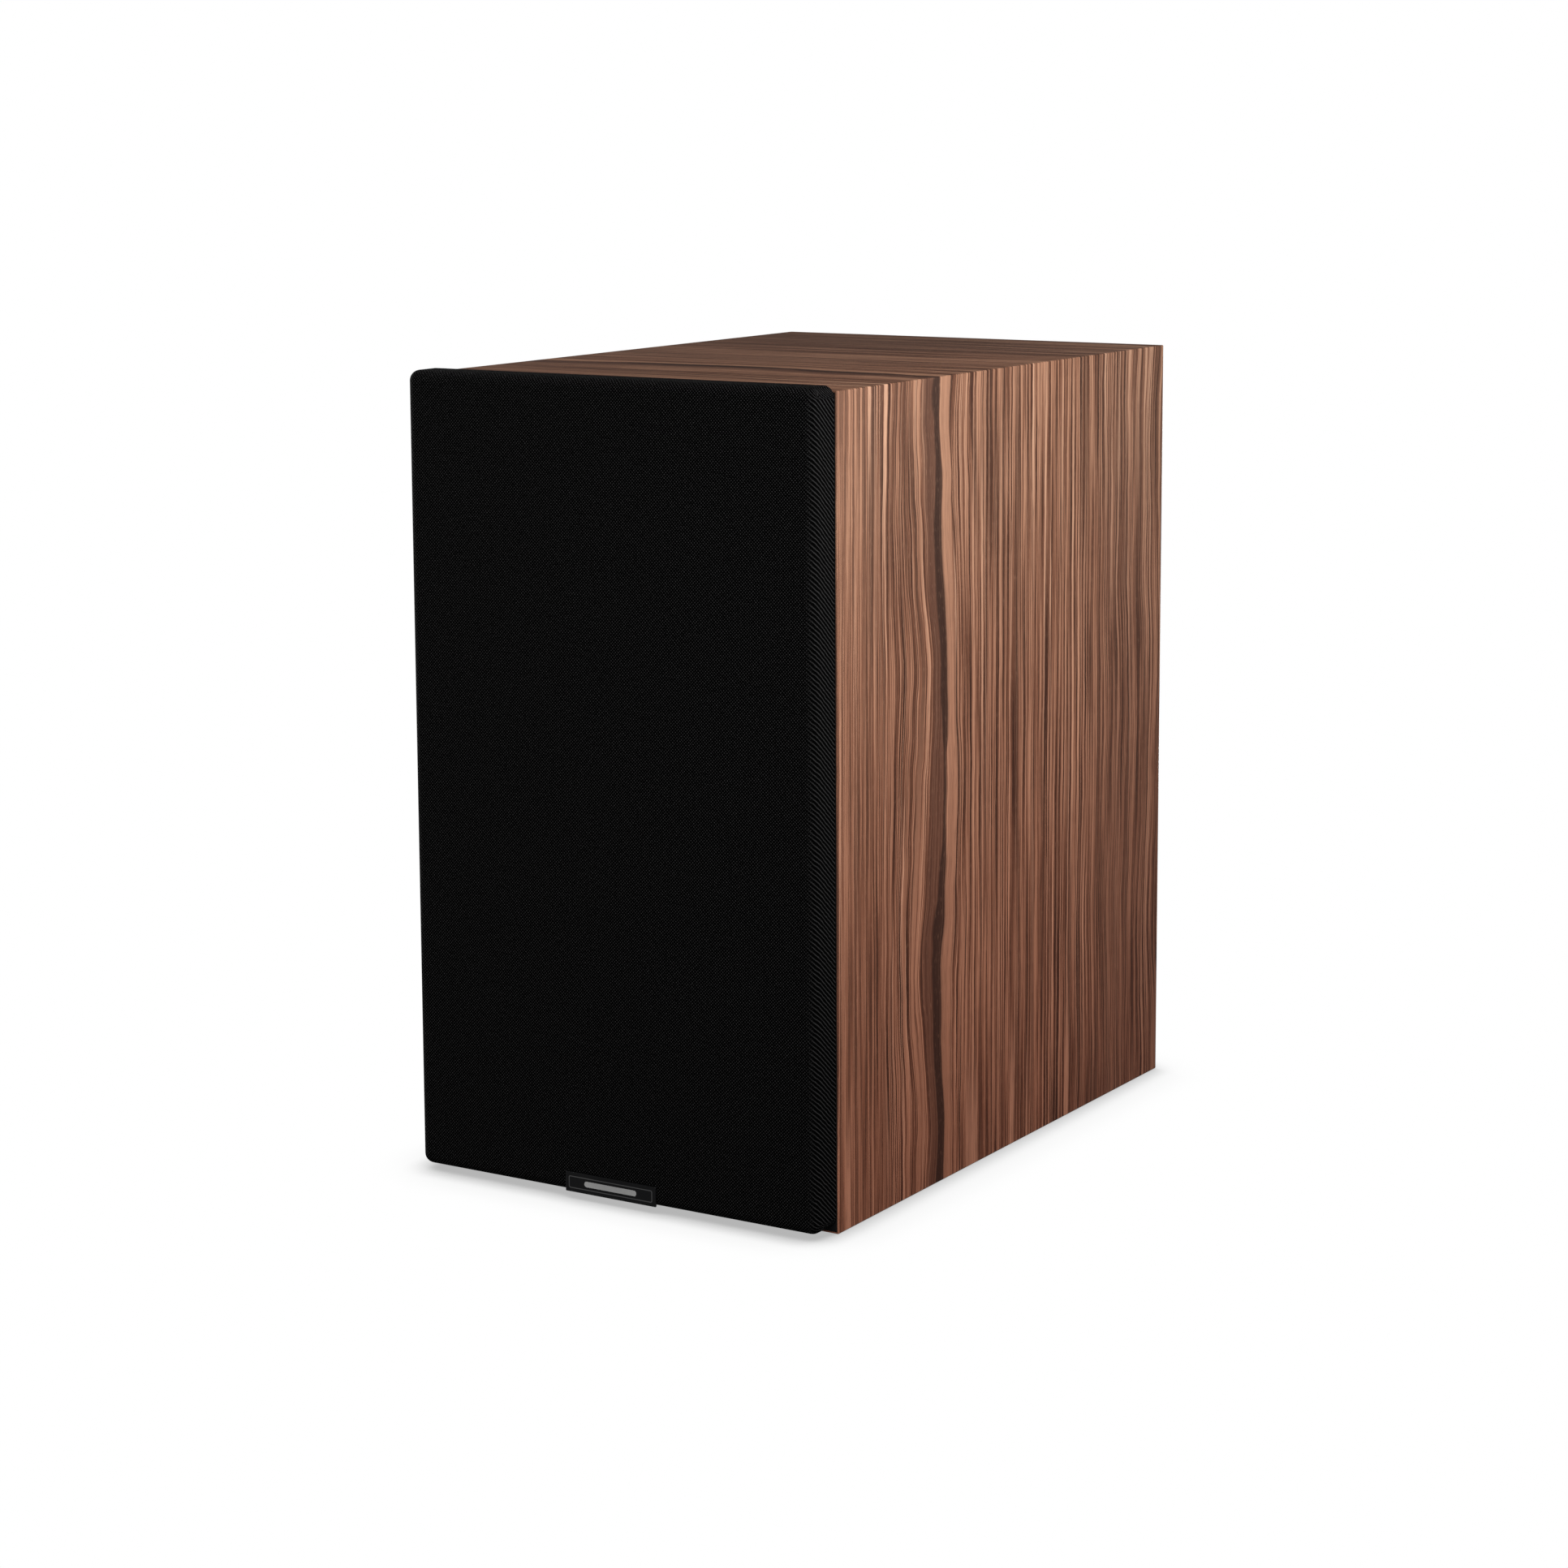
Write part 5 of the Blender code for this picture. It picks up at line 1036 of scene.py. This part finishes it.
def make_windings(name, centre, radial, pitch, wire, varnish):
    """Enamelled copper wire: rows along Y, or rings where radial is 1."""
    material, n, sockets = new_material(name, Coat_Weight=0.5, Coat_Roughness=0.18)
    place = n.place()
    lines = n.effect(TURNED_LINES, Place=place, Centre=tuple(centre), Pitch=pitch)
    depth = n.parts(place)[1]
    length = lines["Radius"] if radial else depth
    facing_y = n.math("ABSOLUTE", n.parts(n.add("NewGeometry").outputs["Normal"])[1])
    if radial:
        length = n.add("Mix", {0: n.spread(facing_y, 0.4, 0.6), 2: depth, 3: lines["Radius"]}).outputs[0]
    rows = n.effect(WIRE_ROWS, Length=length, Pitch=pitch)
    tone = n.blend(n.spread(n.noise(place, 160.0, 2.0), 0.3, 0.7), wire, varnish)
    # Painted shade darkens the grooves between the wires.
    dark = n.math("MULTIPLY", rows["GrooveShade"], 0.85)
    n.feed(sockets["Base Color"], n.blend(dark, tone, (0.050, 0.016, 0.008, 1)))
    n.feed(sockets["Metallic"], n.spread(rows["GrooveShade"], 0.0, 1.0, 0.9, 0.2))
    gloss = n.effect(UNEVEN_GLOSS, Place=place, Base=0.30, Drift=0.06)["Roughness"]
    n.feed(sockets["Roughness"], gloss)
    bumped(n, sockets, rows["Height"], pitch / 2)
    return material


def make_board():
    """Green lacquered laminate with copper tracks under the lacquer."""
    material, n, sockets = new_material("board_laminate_green", Coat_Weight=0.3, Coat_Roughness=0.25)
    place = n.place()
    x, _, z = n.parts(place)
    cells = n.add("TexVoronoi", {"Vector": n.vector(x, 0.0, z), "Scale": 62.0}, distance="MANHATTAN",
                  feature="DISTANCE_TO_EDGE").outputs["Distance"]
    tracks = n.spread(cells, 0.05, 0.07, 0.0, 1.0)
    weave = n.math("MULTIPLY", n.math("SINE", n.math("MULTIPLY", x, 5200.0)),
                   n.math("SINE", n.math("MULTIPLY", z, 5200.0)))
    tone = n.blend(tracks, (0.018, 0.075, 0.034, 1), (0.036, 0.130, 0.058, 1))
    tone = n.blend(n.spread(weave, 0.2, 1.0, 0.0, 0.25), tone, (0.050, 0.140, 0.070, 1))
    n.feed(sockets["Base Color"], tone)
    gloss = n.effect(UNEVEN_GLOSS, Place=place, Base=0.40, Drift=0.08)["Roughness"]
    n.feed(sockets["Roughness"], gloss)
    bumped(n, sockets, n.math("MULTIPLY_ADD", weave, 0.15, tracks), 0.00005)
    return material


def make_wadding():
    """Tangled white polyester wadding."""
    material, n, sockets = new_material("wadding_white", Sheen_Weight=0.4, Sheen_Roughness=0.6,
                                        Subsurface_Weight=0.15, Subsurface_Scale=0.003)
    place = n.place()
    tangle = n.noise(place, 420.0, 5.0, 0.75)
    tufts = n.noise(place, 60.0, 3.0)
    tone = n.blend(n.spread(tangle, 0.35, 0.65), (0.52, 0.51, 0.49, 1), (0.80, 0.79, 0.77, 1))
    tone = n.blend(n.spread(tufts, 0.4, 0.7, 0.0, 0.35), tone, (0.60, 0.58, 0.55, 1))
    n.feed(sockets["Base Color"], tone)
    n.feed(sockets["Roughness"], n.spread(tangle, 0.3, 0.7, 0.86, 0.97))
    bumped(n, sockets, tangle, 0.0008)
    return material


WOOFER = middle("woofer_trim_ring")
WOOFER.y = FRONT
TWEETER = middle("tweeter_faceplate")
TWEETER.y = FRONT
PORT = middle("port_tube")
PORT.y = BACK
CUP = middle("terminal_cup")
CUP.y = BACK
PULP = make_pulp(WOOFER)
SPIDER = make_spider_cloth()
VOICE_WIRE = make_windings("voice_coil_copper", WOOFER, False, 0.00035, (0.62, 0.25, 0.10, 1),
                           (0.72, 0.33, 0.15, 1))
COIL_WIRE = make_windings("bass_coil_copper", middle("bass_coil"), True, 0.0009,
                          (0.55, 0.20, 0.075, 1), (0.68, 0.30, 0.13, 1))
ZINC = make_turned_metal("zinc_plated_steel", (0.46, 0.47, 0.49, 1), (0.62, 0.62, 0.60, 1), 0.34,
                         WOOFER, 0.0006, 0.00002)
GOLD = surface("gold_plate", (0.80, 0.56, 0.22, 1), (0.90, 0.68, 0.30, 1), 0.20, 0.07,
               (2600.0, 260.0, 0.4), 0.00001, Metallic=1.0)
BOARD = make_board()
WADDING = make_wadding()


# ---------------------------------------------------------------- baffle and back
def screw_places(nodes):
    """Middles of the screws in XZ."""
    return [(middle(node).x, middle(node).z) for node in nodes]


WOOFER_SCREWS = [f"woofer_screw_{number}" for number in range(1, 5)]
TWEETER_SCREWS = [f"tweeter_screw_{number}" for number in range(1, 4)]
TERMINAL_SCREWS = [f"terminal_screw_{number}" for number in range(1, 5)]


def pilots(nodes, plane, low, high, forward, radius=0.0020):
    """Cutters for the screws' holes."""
    return [drum(f"pilot_{node}", (x, plane, z), radius, low, high, forward, 24)
            for node, (x, z) in zip(nodes, screw_places(nodes))]


def build_baffle():
    """The black baffle with round rebates for both drivers and the magnets."""
    low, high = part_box("front_baffle")
    baffle = soften(block("painted_baffle", low, high), 0.0003, 2)
    thick = high.y - low.y
    cutters = [drum("woofer_rebate", WOOFER, 0.0793, -0.0051, 0.01, sides=128),
               drum("woofer_opening", WOOFER, 0.067, -thick - 0.001, 0.01, sides=128),
               drum("tweeter_rebate", TWEETER, 0.0523, -0.0040, 0.01, sides=128),
               drum("tweeter_opening", TWEETER, 0.0415, -thick - 0.001, 0.01, sides=128)]
    for number in range(1, 5):
        place = middle(f"baffle_magnet_{number}")
        cutters.append(drum(f"magnet_pocket_{number}", (place.x, FRONT, place.z), 0.0053, -0.0033,
                            0.01, sides=48))
    cutters += pilots(WOOFER_SCREWS + TWEETER_SCREWS, FRONT, -0.0155, 0.01, True)
    cut_by(baffle, cutters)
    shade(baffle, 35)
    settle(baffle, "cabinet", BLACK_PAINT, "black_panel", "front_baffle")


def build_back():
    """The black back panel, rebated for the port and the terminal cup."""
    low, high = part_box("back_panel")
    back = soften(block("painted_back_panel", low, high), 0.0003, 2)
    thick = high.y - low.y
    turned_back = facing(CUP, False)
    cutters = [drum("port_rebate", PORT, 0.0383, -0.0033, 0.01, False, 128),
               drum("port_opening", PORT, 0.0278, -thick - 0.001, 0.01, False, 128),
               plate("cup_rebate", round_rectangle(0.0503, 0.0403, 0.0053), -0.0030, 0.01, turned_back),
               plate("cup_opening", round_rectangle(0.0373, 0.0273, 0.0083), -thick - 0.001, 0.01,
                     turned_back)]
    cutters += pilots(TERMINAL_SCREWS, BACK, -thick - 0.001, 0.01, False)
    cut_by(back, cutters)
    shade(back, 35)
    settle(back, "cabinet", BLACK_PAINT, "black_panel", "back_panel")


def build_brace():
    """The window brace in raw board, its edges eased."""
    low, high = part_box("window_brace")
    brace = block("raw_window_brace", low, high)
    rail = 0.028
    centre = (low + high) / 2
    outline = round_rectangle((high.x - low.x) / 2 - rail, (high.y - low.y) / 2 - rail, 0.020)
    opening = plate("brace_window", outline, -0.02, 0.02, Matrix.Translation(centre))
    cut_by(brace, [opening])
    soften(brace, 0.0008, 2, 60)
    settle(brace, "cabinet", RAW_BOARD, "raw_board", "window_brace")


build_baffle()
build_back()
build_brace()

# ---------------------------------------------------------------- screws
HEAD_RADIUS = 0.0034
HEAD_HEIGHT = 0.0018


def screw_blank(length):
    """A domed pan-head screw with a tapered cross recess; local 0 is under the head."""
    shank = 0.0017
    profile = [(0, HEAD_HEIGHT), (0.0010, HEAD_HEIGHT), (0.0020, HEAD_HEIGHT - 0.0001),
               (0.0028, HEAD_HEIGHT - 0.0004), (0.0032, HEAD_HEIGHT - 0.0009), (HEAD_RADIUS, 0.0004),
               (HEAD_RADIUS - 0.0001, 0), (shank, 0)]
    turns = int((length - 0.003) / 0.0009)
    for turn in range(turns):
        top = -0.0008 - 0.0009 * turn
        profile += [(shank - 0.0003, top), (shank, top - 0.00045)]
    profile += [(shank - 0.0003, -length + 0.0017), (0, -length)]
    screw = spun("screw", profile, (0, 0, 0), steps=40, closed=False, upright=True)
    for turn in (0, 90):
        bm = bmesh.new()
        bmesh.ops.create_cube(bm, size=1.0)
        for vert in bm.verts:
            reach = 0.0020 if vert.co.z > 0 else 0.0012
            vert.co = Vector((vert.co.x * 2 * reach, vert.co.y * 0.0007,
                              0.0026 if vert.co.z > 0 else 0.0008))
        bmesh.ops.rotate(bm, cent=(0, 0, 0), matrix=Matrix.Rotation(math.radians(turn), 3, "Z"),
                         verts=bm.verts)
        cut_by(screw, [linked("recess", mesh_from(bm, "recess"))])
    mesh = screw.data
    bpy.data.objects.remove(screw, do_unlink=True)
    mesh.name = "pan_head_screw"
    mesh.shade_smooth()
    mesh.set_sharp_from_angle(angle=math.radians(32))
    return mesh


def drive_screws(nodes, length, forward):
    """Screws at their CAD places, each turned in to its own angle."""
    blank = screw_blank(length)
    for number, node in enumerate(nodes):
        seat = front_of(node) if forward else back_of(node)
        seat.y += HEAD_HEIGHT if forward else -HEAD_HEIGHT
        mesh = blank.copy()
        turn = Matrix.Rotation(math.radians(23 + 47 * number), 4, "Z")
        mesh.transform(facing(seat, forward) @ turn)
        piece = linked(f"{node}_pan_head", mesh)
        settle(piece, "cabinet", BLACK_STEEL, "black_steel", node)


drive_screws(WOOFER_SCREWS, 0.014, True)
drive_screws(TWEETER_SCREWS, 0.014, True)
drive_screws(TERMINAL_SCREWS, 0.012, False)

# ---------------------------------------------------------------- woofer
def turned_piece(name, node, profile, centre, body, material, slot, forward=True, steps=96,
                 angle=30, closed=True):
    """A turned piece that stands for a CAD node."""
    piece = spun(name, profile, centre, forward, steps, angle, closed)
    return settle(piece, body, material, slot, *([node] if node else []))


def radial_blend(piece):
    """Bake a ring's placement into its mesh."""
    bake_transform(piece)


def build_woofer():
    """Trim ring, gasket, surround, pulp cone, dust cap, voice coil, spider and motor."""
    trim = spun("woofer_trim_bezel", [(0.0786, 0), (0.0789, -0.0001), (0.079, -0.0004), (0.079, -0.0011),
                                      (0.0672, -0.0011), (0.0672, -0.0005), (0.0674, -0.0001),
                                      (0.0678, 0)], WOOFER, steps=160)
    cut_by(trim, pilots(WOOFER_SCREWS, FRONT, -0.02, 0.01, True))
    shade(trim, 35)
    settle(trim, "cabinet", MOULDED, "moulded_black", "woofer_trim_ring")
    turned_piece("woofer_foam_gasket", "woofer_gasket",
                 [(0.079, -0.0038), (0.079, -0.0048), (0.0672, -0.0048), (0.0672, -0.0038)],
                 WOOFER, "cabinet", RUBBER, "rubber_roll", steps=128)

    surround = spun("woofer_roll_surround", roll(0.0669, 0.0635, 0.0545, 0.0520, -0.0011, 0.0008, 28),
                    WOOFER, steps=160, angle=50)
    surround.data.materials.append(RUBBER)
    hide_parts("woofer_surround")
    radial_blend(surround)

    lip, neck, cone_top = 0.0520, 0.0136, -0.0014
    upper = []
    for step in range(33):
        share = step / 32
        upper.append((lip + (neck - lip) * share, cone_top - 0.024 * share ** 1.25))
    under = [(radius, height - 0.0011) for radius, height in upper]
    turned_piece("woofer_pulp_cone", "woofer_cone",
                 [(0.0545, cone_top), (0.0545, cone_top - 0.0011), *under, *reversed(upper)],
                 WOOFER, "woofer_diaphragm", PULP, "paper_cone", steps=160, angle=40)
    share = (lip - 0.0185) / (lip - neck)
    seat = cone_top - 0.024 * share ** 1.25 + 0.0003
    turned_piece("woofer_pulp_dust_cap", "woofer_dust_cap",
                 [*dome(0.0185, 0.0065, seat, 24), *reversed(dome(0.0174, 0.0054, seat, 24))],
                 WOOFER, "woofer_diaphragm", PULP, "paper_cone", steps=128, angle=50, closed=False)
    bead = [(0.0189 + x, seat + 0.0001 + y) for x, y in arc((0, 0), 0.0006, 0, 330, 11)]
    turned_piece("dust_cap_glue_bead", None, bead, WOOFER, "woofer_diaphragm", GLOSS_BLACK,
                 "gloss_black", steps=128, angle=60)
    turned_piece("woofer_wound_coil", "woofer_voice_coil",
                 [(0.0133, -0.0242), (0.0133, -0.0592), (0.0121, -0.0592), (0.0121, -0.0242)],
                 WOOFER, "woofer_diaphragm", VOICE_WIRE, "copper_wire", steps=96)

    low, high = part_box("woofer_spider")
    outer = (high.x - low.x) / 2
    flat, inner, rest = outer - 0.0065, 0.0136, -0.0372
    waves = [(outer, rest + 0.0007)]
    for step in range(61):
        share = step / 60
        waves.append((flat + (inner - flat) * share,
                      rest + 0.0007 + 0.0012 * (0.5 - 0.5 * math.cos(6 * math.pi * share))))
    spider = spun("woofer_corrugated_spider", [*[(radius, height - 0.0007) for radius, height in waves],
                                               *reversed(waves)], WOOFER, steps=128, angle=60)
    spider.data.materials.append(SPIDER)
    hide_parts("woofer_spider")
    radial_blend(spider)

    chamfer = 0.0006
    for name, node, outside, inside, top, bottom, material, slot in (
            ("woofer_zinc_top_plate", "woofer_top_plate", 0.045, 0.0137, -0.0518, -0.0568, ZINC,
             "plated_steel"),
            ("woofer_ferrite_ring", "woofer_magnet", 0.045, 0.024, -0.0571, -0.0721, FERRITE, "ferrite")):
        turned_piece(name, node, [(outside - chamfer, top), (outside, top - chamfer),
                                  (outside, bottom + chamfer), (outside - chamfer, bottom),
                                  (inside, bottom), (inside, top)], WOOFER, "cabinet", material, slot)
    turned_piece("woofer_vented_yoke", "woofer_yoke",
                 [(0.0444, -0.0724), (0.045, -0.0730), (0.045, -0.0768), (0.0444, -0.0774),
                  (0.004, -0.0774), (0.004, -0.0518), (0.0117, -0.0518), (0.0117, -0.0724)],
                 WOOFER, "cabinet", ZINC, "plated_steel")


# ---------------------------------------------------------------- tweeter
def build_tweeter():
    """Waveguide faceplate, guard, silk dome and surround, motor and rear chamber."""
    guide = []
    for step in range(29):
        share = step / 28
        guide.append((0.0165 + 0.0265 * share, -0.0095 * (1 - share) ** 1.8))
    face = spun("tweeter_waveguide_plate",
                [(0.0515, 0), (0.0518, -0.0001), (0.052, -0.0004), (0.052, -0.0037), (0.040, -0.0037),
                 (0.040, -0.0125), (0.0165, -0.0125), *guide], TWEETER, steps=160)
    cut_by(face, pilots(TWEETER_SCREWS, FRONT, -0.02, 0.01, True))
    shade(face, 35)
    settle(face, "cabinet", MOULDED, "moulded_black", "tweeter_faceplate")

    base = -0.0134
    turned_piece("tweeter_silk_dome", "tweeter_dome",
                 [*dome(0.0126, 0.0065, base, 24), (0.0126, base - 0.005), (0.0120, base - 0.005),
                  *reversed(dome(0.0120, 0.0059, base, 24))], TWEETER, "tweeter_diaphragm", SILK,
                 "dome_silk", steps=112, angle=50, closed=False)
    surround = spun("tweeter_silk_surround", roll(0.0177, 0.0162, 0.0135, 0.0129, base, 0.0006, 16),
                    TWEETER, steps=112, angle=50)
    surround.data.materials.append(SILK)
    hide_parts("tweeter_surround")
    radial_blend(surround)

    section = arc((0.0185, -0.0053), 0.0010, 0, 180, 10)
    guard = spun("tweeter_phase_guard", [*section, (0.0175, -0.0073), (0.0195, -0.0073)], TWEETER,
                 steps=112, angle=40)
    arms = []
    for index in range(3):
        turn = Matrix.Rotation(math.radians(30 + 120 * index), 4, "Z")
        outline = [(0.0020, -0.0009), (0.0182, -0.0006), (0.0182, 0.0006), (0.0020, 0.0009)]
        arms.append(plate(f"guard_arm_{index}", outline, -0.0058, -0.0046, facing(TWEETER) @ turn))
    disc = spun("guard_disc", [(0, -0.00445), (0.0038, -0.00448), (0.0050, -0.0048), (0.0055, -0.0052),
                               (0.0050, -0.0058), (0, -0.0059)], TWEETER, steps=64, closed=False)
    fuse(guard, [*arms, disc])
    soften(guard, 0.00016, 2, 45)
    settle(guard, "cabinet", MOULDED, "moulded_black", "tweeter_guard")

    turned_piece("tweeter_motor_ring", "tweeter_motor",
                 [(0.0354, -0.0137), (0.036, -0.0143), (0.036, -0.0311), (0.0354, -0.0317),
                  (0.003, -0.0317), (0.003, -0.0150), (0.0114, -0.0150), (0.0114, -0.0210),
                  (0.0132, -0.0210), (0.0132, -0.0137)], TWEETER, "cabinet", FERRITE, "ferrite")
    turned_piece("tweeter_rear_chamber", "tweeter_chamber",
                 [(0, -0.0467), (0.032, -0.0467), (0.032, -0.0320), (0.034, -0.0320),
                  (0.034, -0.0472), (0.0335, -0.0482), (0.0325, -0.0487), (0, -0.0487)],
                 TWEETER, "cabinet", MOULDED, "moulded_black", closed=False)


# ---------------------------------------------------------------- port and terminals
def build_port():
    """The flared port tube, its mouth and inner end rounded."""
    flare = [(0.025 + 0.007 * (1 - math.cos(math.radians(angle))),
              -0.007 * (1 - math.sin(math.radians(angle)))) for angle in range(0, 91, 5)]
    turned_piece("port_flared_tube", "port_tube",
                 [(0.0372, 0), (0.0377, -0.0002), (0.038, -0.0007), (0.038, -0.003), (0.0275, -0.003),
                  (0.0275, -0.0992), (0.0268, -0.1000), (0.0257, -0.1000), (0.025, -0.0992), *flare],
                 PORT, "cabinet", MOULDED, "moulded_black", False, 160)


def fluted_nut(name, node, body, centre, low, high, material, slot):
    """A knob with flutes that run out into its rounded ends."""
    rows = ((low, 0.0007, 0.5), (low + 0.0006, 0.0001, 1.0), (low + 0.0010, 0.0, 1.0),
            (high - 0.0016, 0.0, 1.0), (high - 0.0008, 0.0002, 0.9), (high - 0.0003, 0.0006, 0.6),
            (high, 0.0014, 0.2))
    bm = bmesh.new()
    rings = []
    for height, shrink, depth in rows:
        ring = []
        for step in range(144):
            angle = math.tau * step / 144
            radius = 0.0078 - shrink - 0.0007 * depth * (0.5 - 0.5 * math.cos(12 * angle)) ** 0.7
            ring.append(bm.verts.new((radius * math.cos(angle), radius * math.sin(angle), height)))
        rings.append(ring)
    for radius, height in ((0.0042, high), (0.0038, high - 0.0004), (0.0033, high - 0.0006),
                           (0.0033, low)):
        rings.append([bm.verts.new((radius * math.cos(math.tau * step / 144),
                                    radius * math.sin(math.tau * step / 144), height))
                      for step in range(144)])
    for ring, following in zip(rings, rings[1:] + rings[:1]):
        for step in range(144):
            other = (step + 1) % 144
            bm.faces.new((ring[step], ring[other], following[other], following[step]))
    bmesh.ops.recalc_face_normals(bm, faces=bm.faces)
    bmesh.ops.transform(bm, matrix=facing(centre, False), verts=bm.verts)
    piece = linked(name, mesh_from(bm, name))
    shade(piece, 40)
    return settle(piece, body, material, slot, node)


def build_terminals():
    """The moulded cup with raised polarity marks and its two binding posts."""
    turned_back = facing(CUP, False)
    cup = plate("moulded_terminal_cup", round_rectangle(0.050, 0.040, 0.005), -0.0027, 0, turned_back)
    tub = plate("cup_tub", round_rectangle(0.037, 0.027, 0.008), -0.031, -0.001, turned_back)
    fuse(cup, [tub])
    floor = CUP - Vector((0, 0.028, 0))
    cavity = plate("cup_cavity", round_rectangle(0.035, 0.025, 0.006), -0.028, 0.01, turned_back)
    posts = [drum(f"post_hole_{side}", floor + Vector((0.018 * side, 0, 0)), 0.0033, -0.01, 0.01, False, 48)
             for side in (-1, 1)]
    cut_by(cup, [cavity, *posts])
    soften(cup, 0.0005, 3, 60)
    cut_by(cup, pilots(TERMINAL_SCREWS, BACK, -0.02, 0.01, False))
    shade(cup, 35)
    settle(cup, "cabinet", MOULDED, "moulded_black", "terminal_cup")
    for name, side, bars in (("plus", 1, ((0.0030, 0.0006), (0.0006, 0.0030))),
                             ("minus", -1, ((0.0030, 0.0006),))):
        place = facing(floor + Vector((0.018 * side, 0, 0.017)), False)
        shapes = [plate(f"polarity_{name}_{index}", round_rectangle(half_x, half_y, 0.0003, 4), -0.0002,
                        0.0004 + 0.00001 * index, place) for index, (half_x, half_y) in enumerate(bars)]
        if shapes[1:]:
            fuse(shapes[0], shapes[1:])
        shade(shapes[0], 35)
        shapes[0].name = f"polarity_{name}_mark"
        settle(shapes[0], "cabinet", MOULDED, "moulded_black")
    for colour, side, plastic, slot in (("red", 1, RED_NUT, "red_plastic"),
                                        ("black", -1, BLACK_NUT, "moulded_black")):
        centre = floor + Vector((0.018 * side, 0, 0))
        post = spun(f"{colour}_gold_post",
                    [(0, 0.0095), (0.002, 0.0095), (0.002, 0.0207), (0.0023, 0.0210), (0.0027, 0.0210),
                     (0.003, 0.0206), (0.003, 0.0035), (0.0051, 0.0035), (0.0055, 0.0031),
                     (0.0055, 0.0003), (0.003, 0.0003), (0.003, -0.0074), (0.0026, -0.0078),
                     (0, -0.0078)], centre, False, 64, closed=False)
        hole = drum(f"{colour}_wire_hole", (0, 0, 0), 0.0012, -0.02, 0.02, True, 24)
        hole.data.transform(Matrix.Translation(centre + Vector((0, 0.0056, 0)))
                            @ Matrix.Rotation(math.radians(90), 4, "Z"))
        cut_by(post, [hole])
        shade(post, 35)
        settle(post, "cabinet", GOLD, "gold_plate", f"{colour}_post")
        turned_piece(f"{colour}_gold_washer", f"{colour}_clamp_washer",
                     [(0.0057, 0.0050), (0.006, 0.0047), (0.006, 0.0041), (0.0057, 0.0038),
                      (0.0033, 0.0038), (0.0033, 0.0050)], centre, f"{colour}_clamp", GOLD, "gold_plate",
                     False, 64)
        fluted_nut(f"{colour}_fluted_knob", f"{colour}_post_nut", f"{colour}_nut", centre, 0.0053, 0.0213,
                   plastic, slot)


build_woofer()
build_tweeter()
build_port()
build_terminals()

# ---------------------------------------------------------------- inside the cabinet
def build_crossover():
    """Laminate board with its air-core coil and film capacitor."""
    low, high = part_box("crossover_board")
    board = soften(block("crossover_laminate", low, high), 0.0002, 2)
    cut_by(board, [drum(f"board_hole_{side}", (0.018 * side, high.y, CUP.z), 0.0033, -0.01, 0.01, False, 48)
                   for side in (-1, 1)])
    shade(board, 35)
    settle(board, "cabinet", BOARD, "board_laminate", "crossover_board")

    seat = back_of("bass_coil")
    coil = spun("bass_wound_coil", [(0.0184, 0.0158), (0.019, 0.0152), (0.019, 0.0006), (0.0184, 0),
                                    (0.0086, 0), (0.008, 0.0006), (0.008, 0.0152), (0.0086, 0.0158)],
                seat, steps=112, angle=50)
    settle(coil, "cabinet", COIL_WIRE, "copper_wire", "bass_coil")
    centre = middle("capacitor")
    case = spun("film_capacitor", [(0, 0.0166), (0.0066, 0.0166), (0.0072, 0.0170), (0.0080, 0.0168),
                                   (0.0088, 0.0158), (0.009, 0.0146), (0.009, -0.0146),
                                   (0.0088, -0.0158), (0.0080, -0.0168), (0.0072, -0.0170),
                                   (0.0066, -0.0166), (0, -0.0166)], centre, steps=96, angle=35,
                closed=False, upright=True)
    settle(case, "cabinet", FILM_CASE, "film_case", "capacitor")


def build_wadding():
    """A tufted pad, its faces uneven and its edges pulled thin."""
    low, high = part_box("damping_wadding")
    size = high - low
    bm = bmesh.new()
    bmesh.ops.create_cube(bm, size=1.0)
    bmesh.ops.subdivide_edges(bm, edges=bm.edges, cuts=47, use_grid_fill=True)
    for vert in bm.verts:
        x, y, z = vert.co * 2
        edge = max(abs(x), abs(y)) ** 10
        tuft = noise.fractal(Vector((x * 3.1, y * 3.6, z)), 1.0, 2.0, 4)
        fine = noise.noise(Vector((x * 17, y * 20, z * 3)))
        rise = (0.86 - 0.42 * edge + 0.10 * tuft + 0.04 * fine) if z > 0 else 1.0
        pull = 1.0 - 0.012 * (noise.noise(Vector((x * 7, y * 7, 5.0))) + 1.0)
        height = min(rise, 0.985) * (z + 1) / 2 if z > -1 else 0.0
        vert.co = low + Vector(((x * pull + 1) / 2 * size.x, (y * pull + 1) / 2 * size.y, height * size.z))
    bmesh.ops.recalc_face_normals(bm, faces=bm.faces)
    pad = linked("tufted_wadding_pad", mesh_from(bm, "tufted_wadding_pad"))
    shade(pad, 80)
    settle(pad, "cabinet", WADDING, "wadding", "damping_wadding")


def finish_cad(node, material):
    """A CAD node that is shown as it is, in a finish of its own."""
    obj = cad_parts[node]
    obj.data.materials.clear()
    obj.data.materials.append(material)


build_crossover()
build_wadding()
finish_cad("woofer_basket", CAST)
finish_cad("woofer_lead", SHEATH)
finish_cad("tweeter_lead", SHEATH)

# ---------------------------------------------------------------- last lines
place_camera()
build_studio()
